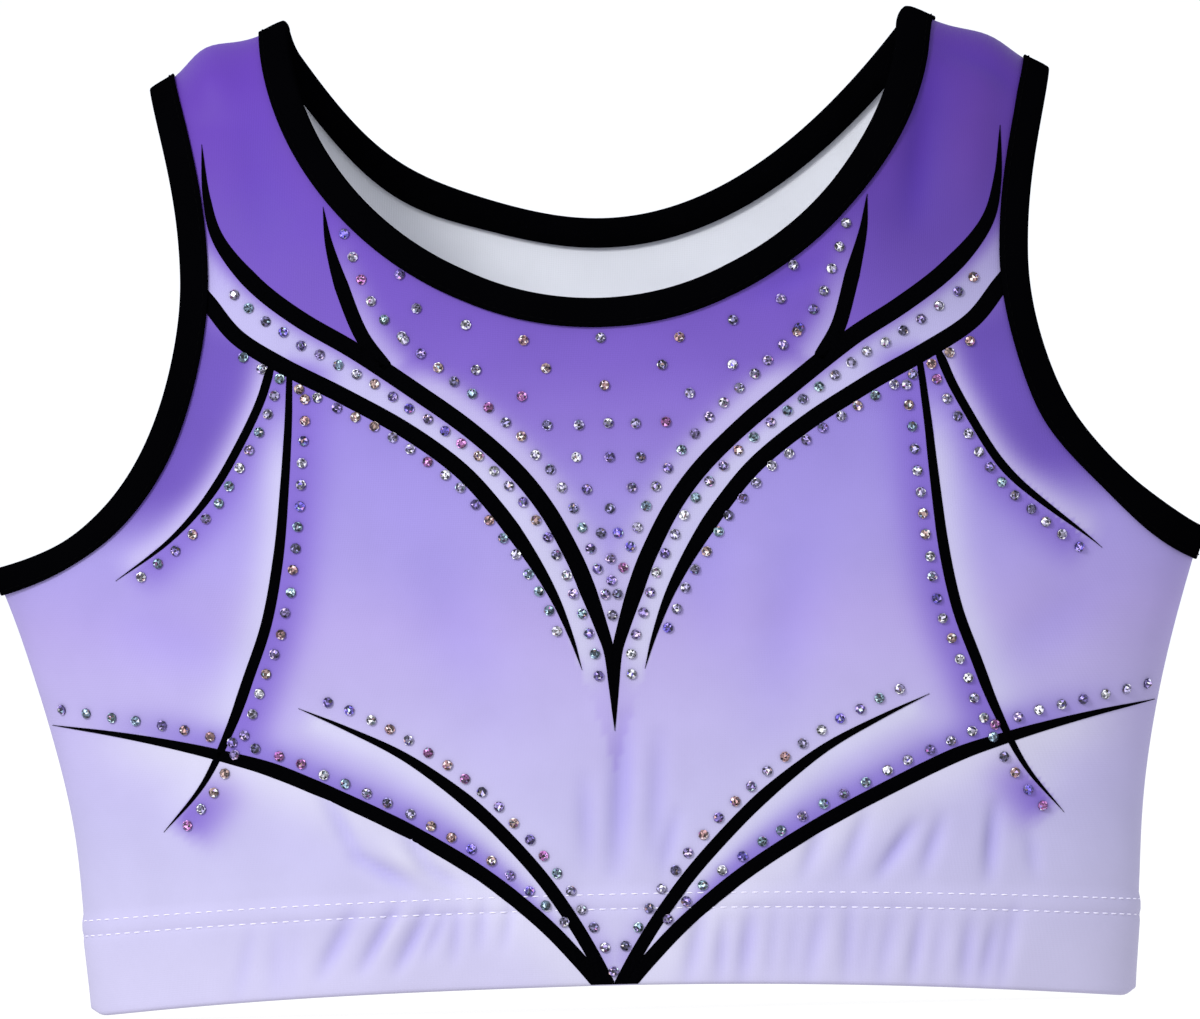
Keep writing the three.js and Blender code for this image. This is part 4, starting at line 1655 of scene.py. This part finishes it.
@dataclass
class Crystals:
    """Round flat-backed stones, glued on one by one in rows and scattered inside the yoke."""

    form: Form
    design: Design
    diameter: float = 3.4
    height: float = 1.45
    sides: int = 8
    seed: int = 20
    wall_facets: Array | None = None  # which of the model's facets are its wall

    def model(self) -> Object:
        """One stone: a low wall, a ring of tall facets, a ring of small ones and a flat table."""
        radius = self.diameter / 2 * MM
        rim = 0.3 * self.height * MM
        deselect()
        bpy.ops.mesh.primitive_cylinder_add(
            vertices=self.sides, radius=radius, depth=rim, location=(0, 0, rim / 2)
        )
        stone = bpy.context.object
        bpy.ops.object.transform_apply(location=True, rotation=False, scale=False)
        bpy.ops.object.mode_set(mode="EDIT")
        bpy.ops.mesh.select_mode(type="FACE")
        for share, up in ((0.86, 0.2), (0.5, 0.5)):
            bpy.ops.object.mode_set(mode="OBJECT")
            top = max(p.center.z for p in stone.data.polygons)
            for p in stone.data.polygons:
                p.select = p.center.z > top - 1e-6
            bpy.ops.object.mode_set(mode="EDIT")
            rise = (0, 0, up * self.height * MM)
            bpy.ops.mesh.extrude_region_move(TRANSFORM_OT_translate={"value": rise})
            bpy.ops.transform.resize(value=(share, share, 1), center_override=(0, 0, 0))
            bpy.ops.transform.rotate(value=math.pi / self.sides, orient_axis="Z", center_override=(0, 0, 0))
        bpy.ops.mesh.select_all(action="SELECT")
        bpy.ops.mesh.quads_convert_to_tris(quad_method="BEAUTY", ngon_method="BEAUTY")
        bpy.ops.mesh.normals_make_consistent(inside=False)
        bpy.ops.object.mode_set(mode="OBJECT")
        order_faces(stone)
        deselect()
        return stone

    def facet_colours(self, piece: Object, per_stone: int, rng: np.random.Generator) -> None:
        """Paints each facet its stone's coating tint, darkened or lightened at random as painted reflections
        and glints, with painted shade on the wall round its rim.
        """
        tints = linear(
            [
                (150, 144, 180), (166, 162, 186), (132, 118, 172), (112, 98, 164), (108, 128, 148),
                (120, 144, 158), (164, 128, 128), (166, 140, 134), (158, 96, 156), (100, 88, 184),
                (196, 196, 206), (92, 88, 122),
            ]
        )
        chance = np.array([14, 12, 11, 8, 8, 6, 7, 6, 5, 6, 7, 10], float)
        # Painted reflections and glints: how much each facet's tint is darkened or lightened, up to white.
        lights = np.array([0.05, 0.18, 0.42, 0.8, 1.6, 4.0])
        often = np.array([17, 22, 22, 19, 12, 8], float)
        mesh = piece.data
        count = len(mesh.polygons)
        stones = rng.choice(len(tints), count // per_stone, p=chance / chance.sum())
        tint = np.repeat(tints[stones], per_stone, axis=0)
        stray = rng.random(count) < 0.14
        tint[stray] = tints[rng.integers(0, len(tints), stray.sum())]
        picks = tint * lights[rng.choice(len(lights), count, p=often / often.sum())][:, None]
        # Painted shade: the wall facets round each stone are darkened to a dark rim.
        wall = np.tile(self.wall_facets, count // per_stone)
        picks = np.where(wall[:, None], tint * 0.22, np.minimum(picks, 1))
        layer = mesh.color_attributes.new("facet", "FLOAT_COLOR", "CORNER")
        totals = np.zeros(count, int)
        mesh.polygons.foreach_get("loop_total", totals)
        rgba = np.ones((int(totals.sum()), 4), np.float32)
        rgba[:, :3] = np.repeat(picks, totals, axis=0)
        layer.data.foreach_set("color", rgba.ravel())

    def build(self, finish: Material) -> None:
        """Makes and dresses every row of stones."""
        rng = np.random.default_rng(self.seed)
        model = self.model()
        self.wall_facets = np.array([abs(p.normal.z) < 0.25 for p in model.data.polygons])
        rows = {}
        for name, places in self.design.stone_rows().items():
            for hand in Hand:
                rows[f"{hand.name}_{name}_stones"] = places * np.array([hand.value, 1])
        rows["scattered_stones"] = self.design.scattered_stones()
        rows["hem_point_stone"] = np.array([[0, 12.5]])
        for name, places in rows.items():
            places = places + rng.normal(0, 0.18, places.shape)
            x, seen = places.T
            z = self.form.unlifted(x, seen)
            spots, across, outs = self.form.frames(x, z, Side.FRONT, 0.22)
            turn = rng.uniform(0, 2 * math.pi, len(x))[:, None]
            up = np.cross(outs, across)
            aim = across * np.cos(turn) + up * np.sin(turn)
            outs = unit(outs + rng.normal(0, 0.05, outs.shape))
            piece = copies(model, spots, aim, outs, name)
            self.facet_colours(piece, len(model.data.polygons), rng)
            seat(piece, None, finish=finish)
        bpy.data.objects.remove(model)


@dataclass
class HemStitching:
    """The twin needle rows outside the hem and the looper thread that joins them inside."""

    form: Form
    pitch: float = 3.5
    inner: float = -3.05

    def build(self, thread: Material) -> None:
        """Makes and dresses the rows of each side."""
        model = stitch_model("hem_stitch_model", 2.25, 0.23)
        for side in Side:
            for row, height in zip(("lower", "upper"), NEEDLE_ROWS):
                x = self.places(side, height)
                spots, across, outs = self.form.frames(x, np.full(len(x), height), side, -0.24)
                piece = copies(model, spots, across, outs, f"{side.name.lower()}_{row}_hem_stitches")
                seat(piece, None, finish=thread)
            self.looper(side, thread)
        bpy.data.objects.remove(model)

    def places(self, side: Side, height: float) -> Array:
        """Where the stitches of a row go, evenly round the body."""
        turn = np.linspace(-HALF_PI, HALF_PI, 801)
        x = self.form.half_width(np.array(height)) * np.sin(turn)
        run = self.form.on_form(x, np.full(len(x), height), side)
        along = lengths(run)
        wanted = np.arange(2.5, along[-1] - 2, self.pitch)
        return np.interp(wanted, along, x)

    def looper(self, side: Side, thread: Material) -> None:
        """A zigzag of thread on the turned-up leg, from one needle row to the other."""
        low, high = NEEDLE_ROWS
        x = self.places(side, low)
        z = np.where(np.arange(len(x)) % 2 == 0, low, high)
        steps = 6
        share = np.linspace(0, len(x) - 1, (len(x) - 1) * steps + 1)
        fine_x = np.interp(share, np.arange(len(x)), x)
        fine_z = np.interp(share, np.arange(len(x)), z)
        dip = 0.12 * np.abs(np.sin(math.pi * share))
        points = self.form.lay(fine_x, fine_z, self.inner - dip, side)
        vertices, faces = tube(points, 0.2, 5)
        piece = make_piece(f"{side.name.lower()}_hem_looper_thread", vertices, faces)
        seat(piece, None, finish=thread)


# ---- Inside pieces ----


@dataclass
class HemElastic:
    """A wide woven elastic that goes right round inside the turned hem."""

    form: Form
    width: float = 25
    thickness: float = 0.9
    bottom: float = 1.8
    out: float = -1.05

    def build(self, finish: Material) -> None:
        """Makes and dresses the elastic."""
        heights = np.linspace(self.bottom, self.bottom + self.width, 12)
        section = [(z, self.out) for z in heights] + [(z, self.out - self.thickness) for z in heights[::-1]]
        turn = np.linspace(-HALF_PI, HALF_PI, 201)
        rows = []
        for side, turns in ((Side.FRONT, turn), (Side.BACK, turn[::-1][1:-1])):
            columns = []
            for z, out in section:
                x = float(self.form.half_width(np.array(z))) * np.sin(turns)
                columns.append(self.form.lay(x, np.full(len(x), z), out, side))
            rows.append(np.stack(columns, axis=1))
        points = np.vstack(rows)
        count = len(points)
        along, girth = lengths(points[:, 0]), np.array([z for z, _ in section])
        uv = cloth_places(girth, along)[:, ::-1]
        points = points.reshape(-1, 3)
        faces = outward(points, grid_faces(count, len(section), close_rows=True, close_columns=True))
        piece = make_piece("hem_elastic_band", points, faces, uv)
        seat(piece, "elastic", "hem_elastic", finish=finish)


@dataclass
class Seams:
    """Overlocked allowances at the sides and shoulders, and the stay tapes beside the shoulders."""

    form: Form
    allowance: float = 6
    thickness: float = 1.3
    outside: float = -1.25
    tape_out: float = -2.05
    tape_thickness: float = 0.4
    loop_pitch: float = 2.2

    def strip(self, place: Places, rows: int, out: float, thickness: float) -> tuple[Array, Array, Array]:
        """A closed strip of cloth.

        Args:
            place: gives points from arrays of shares across and along, and a distance out.
            rows: how many rows it has along its length.
            out: where its outer face lies.
            thickness: of the strip.
        Returns:
            Its points, faces and places on the cloth.
        """
        columns = 6
        u, v = shares(rows, columns)
        edge = 0.25 * thickness * (2 * np.abs(u - 0.5)) ** 6
        top, bottom = place(u, v, out - edge), place(u, v, out - thickness + edge)
        size = rows * columns
        number = np.arange(size).reshape(rows, columns)
        rim = np.concatenate([number[0], number[1:, -1], number[-1, -2::-1], number[-2:0:-1, 0]])
        ahead = np.roll(rim, -1)
        faces = grid_faces(rows, columns)
        walls = np.stack([ahead, rim, size + rim, size + ahead], axis=1)
        faces = np.vstack([faces, size + faces[:, ::-1], walls])
        points = np.vstack([top, bottom])
        uv = np.stack([u * self.allowance, v * rows * 2], axis=1) * MM
        return points, outward(points, faces), np.vstack([uv, uv])

    def side_place(self, hand: Hand, low: float, high: float, width: float) -> Places:
        """Places on a strip inside the back panel, just behind a side seam."""
        form = self.form

        def place(u: Array, v: Array, out: Array) -> Array:
            """Points from shares across and along."""
            z = low + (high - low) * v
            turn = np.arccos((BEHIND_SEAM + u * width) / form.depth(z, Side.BACK))
            return form.lay(hand.value * form.half_width(z) * np.sin(turn), z, out, Side.BACK)

        return place

    def shoulder_place(self, hand: Hand, side: Side) -> Places:
        """Places on a strip inside the shoulder, beside its seam."""
        form = self.form
        clear = form.binding_width + 1.2  # of the strap's edges
        inner = form.neck_half_width + clear
        outer = form.neck_half_width + form.strap_width - clear
        chest = form.chest_height

        def place(u: Array, v: Array, out: Array) -> Array:
            """Points from shares across and along."""
            x = inner + (outer - inner) * v
            reach = np.abs(form.on_form(x, np.full(x.shape, chest), side)[..., 1])
            turn = np.arccos((0.6 + u * self.allowance) / reach)
            z = chest + (form.shoulder_line(x) - chest) * np.sin(turn)
            return form.lay(hand.value * x, z, out, side)

        return place

    def overlock(self, name: str, place: Places, length: float, thread: Material) -> None:
        """Loops of thread that go over the strip's raw edge, with a needle line near its other edge."""
        loops = round(length / self.loop_pitch)
        share = np.linspace(0, loops, loops * 12 + 1)
        swing = 0.5 - 0.5 * np.cos(2 * math.pi * share)
        v = np.clip(share / loops, 0, 1)
        inner_face = self.outside - self.thickness - 0.12
        wave = tube(place(0.06 + 0.9 * swing, v, np.full(len(v), inner_face)), 0.17, 5)
        line = np.linspace(0, 1, loops * 2 + 1)
        edge = tube(place(np.full(len(line), 0.97), line, np.full(len(line), inner_face + 0.1)), 0.2, 5)
        needle = tube(place(np.full(len(line), 0.12), line, np.full(len(line), inner_face - 0.05)), 0.2, 5)
        points, faces = merged([wave, edge, needle])
        piece = make_piece(f"{name}_overlock_thread", points, faces)
        seat(piece, None, finish=thread)

    def build(self, cloth: Material, tape: Material, thread: Material) -> None:
        """Makes and dresses the four seams and two tapes."""
        form = self.form
        low, high = form.hem_depth + 1, form.underarm_height - 2
        shoulder_run = form.strap_width - 2 * form.binding_width - 2
        for hand in Hand:
            jobs = [
                (f"{hand.name}_side_seam", self.side_place(hand, low, high, self.allowance), high - low),
                (f"{hand.name}_shoulder_seam", self.shoulder_place(hand, Side.BACK), shoulder_run),
            ]
            for name, place, length in jobs:
                points, faces, uv = self.strip(place, max(round(length / 2), 6), self.outside, self.thickness)
                piece = make_piece(f"{name}_allowance", points, faces, uv)
                seat(piece, "seam", name, finish=cloth)
                self.overlock(name, place, length, thread)
            place = self.shoulder_place(hand, Side.FRONT)
            points, faces, uv = self.strip(place, 14, self.tape_out, self.tape_thickness)
            piece = make_piece(f"{hand.name}_shoulder_stay_tape", points, faces, uv)
            seat(piece, "tape", f"{hand.name}_shoulder_tape", finish=tape)


@dataclass
class CareLabel:
    """A blank satin label that hangs from the left side seam inside the back."""

    form: Form
    width: float = 25
    height: float = 40
    low: float = 66
    out: float = -2.85
    thickness: float = 0.3

    def build(self, satin: Material) -> Object:
        """Makes and dresses the label."""
        form = self.form
        columns, rows = 20, 30
        u, v = shares(rows, columns)
        z = self.low + self.height * v
        turn = np.arccos((BEHIND_SEAM + u * self.width) / form.depth(z, Side.BACK))
        curl = 1.6 * u**2 * np.sin(math.pi * v * 0.9 + 0.3) + 0.5 * np.sin(u * 7)
        x = Hand.left.value * form.half_width(z) * np.sin(turn)
        points = form.lay(x, z, self.out - np.maximum(curl, 0), Side.BACK)
        uv = np.stack([u * self.width, v * self.height], axis=1) * MM
        faces = grid_faces(rows, columns)
        piece = make_piece("care_label_satin", points, faces, uv)
        dress(piece, satin)
        apply_modifier(piece, "SOLIDIFY", thickness=self.thickness * MM, offset=0, use_rim=True)
        seat(piece, "label", "care_label")
        return piece


# ---- Studio ----


@dataclass
class Studio:
    """A pale floor, soft light from the front left and a long lens level with the garment."""

    target: tuple = (-0.6, 0, 159.6)
    frame_width: float = 384
    distance: float = 8000
    sensor: float = 36
    roll: float = -1.354  # degrees; the garment was set down a little crooked
    key_place: tuple = (-1250, -2000, 1350)
    key_size: float = 650
    key_power: float = 56

    def build(self) -> None:
        """Makes the floor, the lights, the world and the camera."""
        self.floor()
        self.world()
        self.key_light()
        self.camera()
        bpy.context.scene.view_settings.view_transform = "Standard"

    def floor(self) -> None:
        """A wide level floor under the hem."""
        deselect()
        low = CAD_BOX[0].z - 0.0002
        bpy.ops.mesh.primitive_plane_add(size=30, location=(0, 0, low))
        ground = bpy.context.object
        ground.name = "studio_floor"
        bpy.ops.object.transform_apply(location=True, rotation=True, scale=True)
        dress(ground, Ground("pale_floor").build())
        deselect()

    def world(self) -> None:
        """White surroundings."""
        world = bpy.data.worlds.new("studio_world")
        world.use_nodes = True
        background = world.node_tree.nodes["Background"]
        background.inputs["Color"].default_value = (0.93, 0.95, 1, 1)
        background.inputs["Strength"].default_value = 1.08
        bpy.context.scene.world = world

    def key_light(self) -> None:
        """A square soft light, aimed at the target."""
        data = bpy.data.lights.new("key", "AREA")
        data.size = self.key_size * MM
        data.energy = self.key_power
        lamp = bpy.data.objects.new("key", data)
        spot, aim = Vector(self.key_place) * MM, Vector(self.target) * MM
        lamp.location = spot
        lamp.rotation_euler = (aim - spot).to_track_quat("-Z", "Y").to_euler()
        bpy.context.scene.collection.objects.link(lamp)

    def camera(self) -> None:
        """A camera level with the middle of the garment, straight in front, a little rolled."""
        data = bpy.data.cameras.new("camera")
        data.sensor_width = self.sensor
        data.lens = self.sensor * self.distance / self.frame_width
        camera = bpy.data.objects.new("camera", data)
        x, y, z = self.target
        turn = Matrix.Rotation(HALF_PI, 4, "X") @ Matrix.Rotation(math.radians(self.roll), 4, "Z")
        camera.matrix_world = Matrix.Translation(Vector((x, y - self.distance, z)) * MM) @ turn
        bpy.context.scene.collection.objects.link(camera)
        bpy.context.scene.camera = camera


# ---- The whole garment ----


def main() -> None:
    """Builds the garment piece by piece and sets up the studio."""
    logging.basicConfig(level=logging.INFO, format="%(name)s: %(message)s")
    form, design = Form(), Design()
    printed = Knit("printed_knit", attribute="print", sheen=0.03, specular=0.12).build()
    reverse = Knit("white_reverse_knit", (203, 205, 212), sheen=0.03, roughness=0.65, specular=0.15).build()
    white = Knit("lining_knit", (206, 207, 216), sheen=0.05, roughness=0.7, wale=0.6).build()
    black = Knit("binding_knit", (2, 2, 3), sheen=0.0, roughness=0.8, mottle=0.1, specular=0.0).build()
    white_thread = Thread("white_thread", (212, 208, 230)).build()
    black_thread = Thread("black_thread", (4, 4, 5), sheen=0.0, specular=0.0).build()
    lilac_thread = Thread("lilac_thread", (208, 200, 236)).build()

    front = Panel(form, design, Side.FRONT).build(printed, reverse)
    back = Panel(form, design, Side.BACK).build(printed, reverse)
    lining = Lining(form).build(white)
    edge_elastic = Elastic("edge_elastic", (240, 239, 234), 0.7).build()
    bindings = Bindings(form).build(black, black_thread, edge_elastic)
    Motif(form, design).build(Paint("black_print", (2, 2, 3)).build())
    Crystals(form, design).build(Crystal("rainbow_crystal").build())
    HemStitching(form).build(white_thread)
    HemElastic(form).build(Elastic("hem_elastic", (238, 237, 232), 1.2).build())
    seam_cloth = Knit("seam_cloth", (206, 198, 236), sheen=0.1).build()
    Seams(form).build(seam_cloth, Film("stay_tape", (218, 222, 226)).build(), lilac_thread)
    label = CareLabel(form).build(Satin("label_satin", (244, 244, 242)).build())

    Studio().build()


if __name__ == "__main__":
    main()
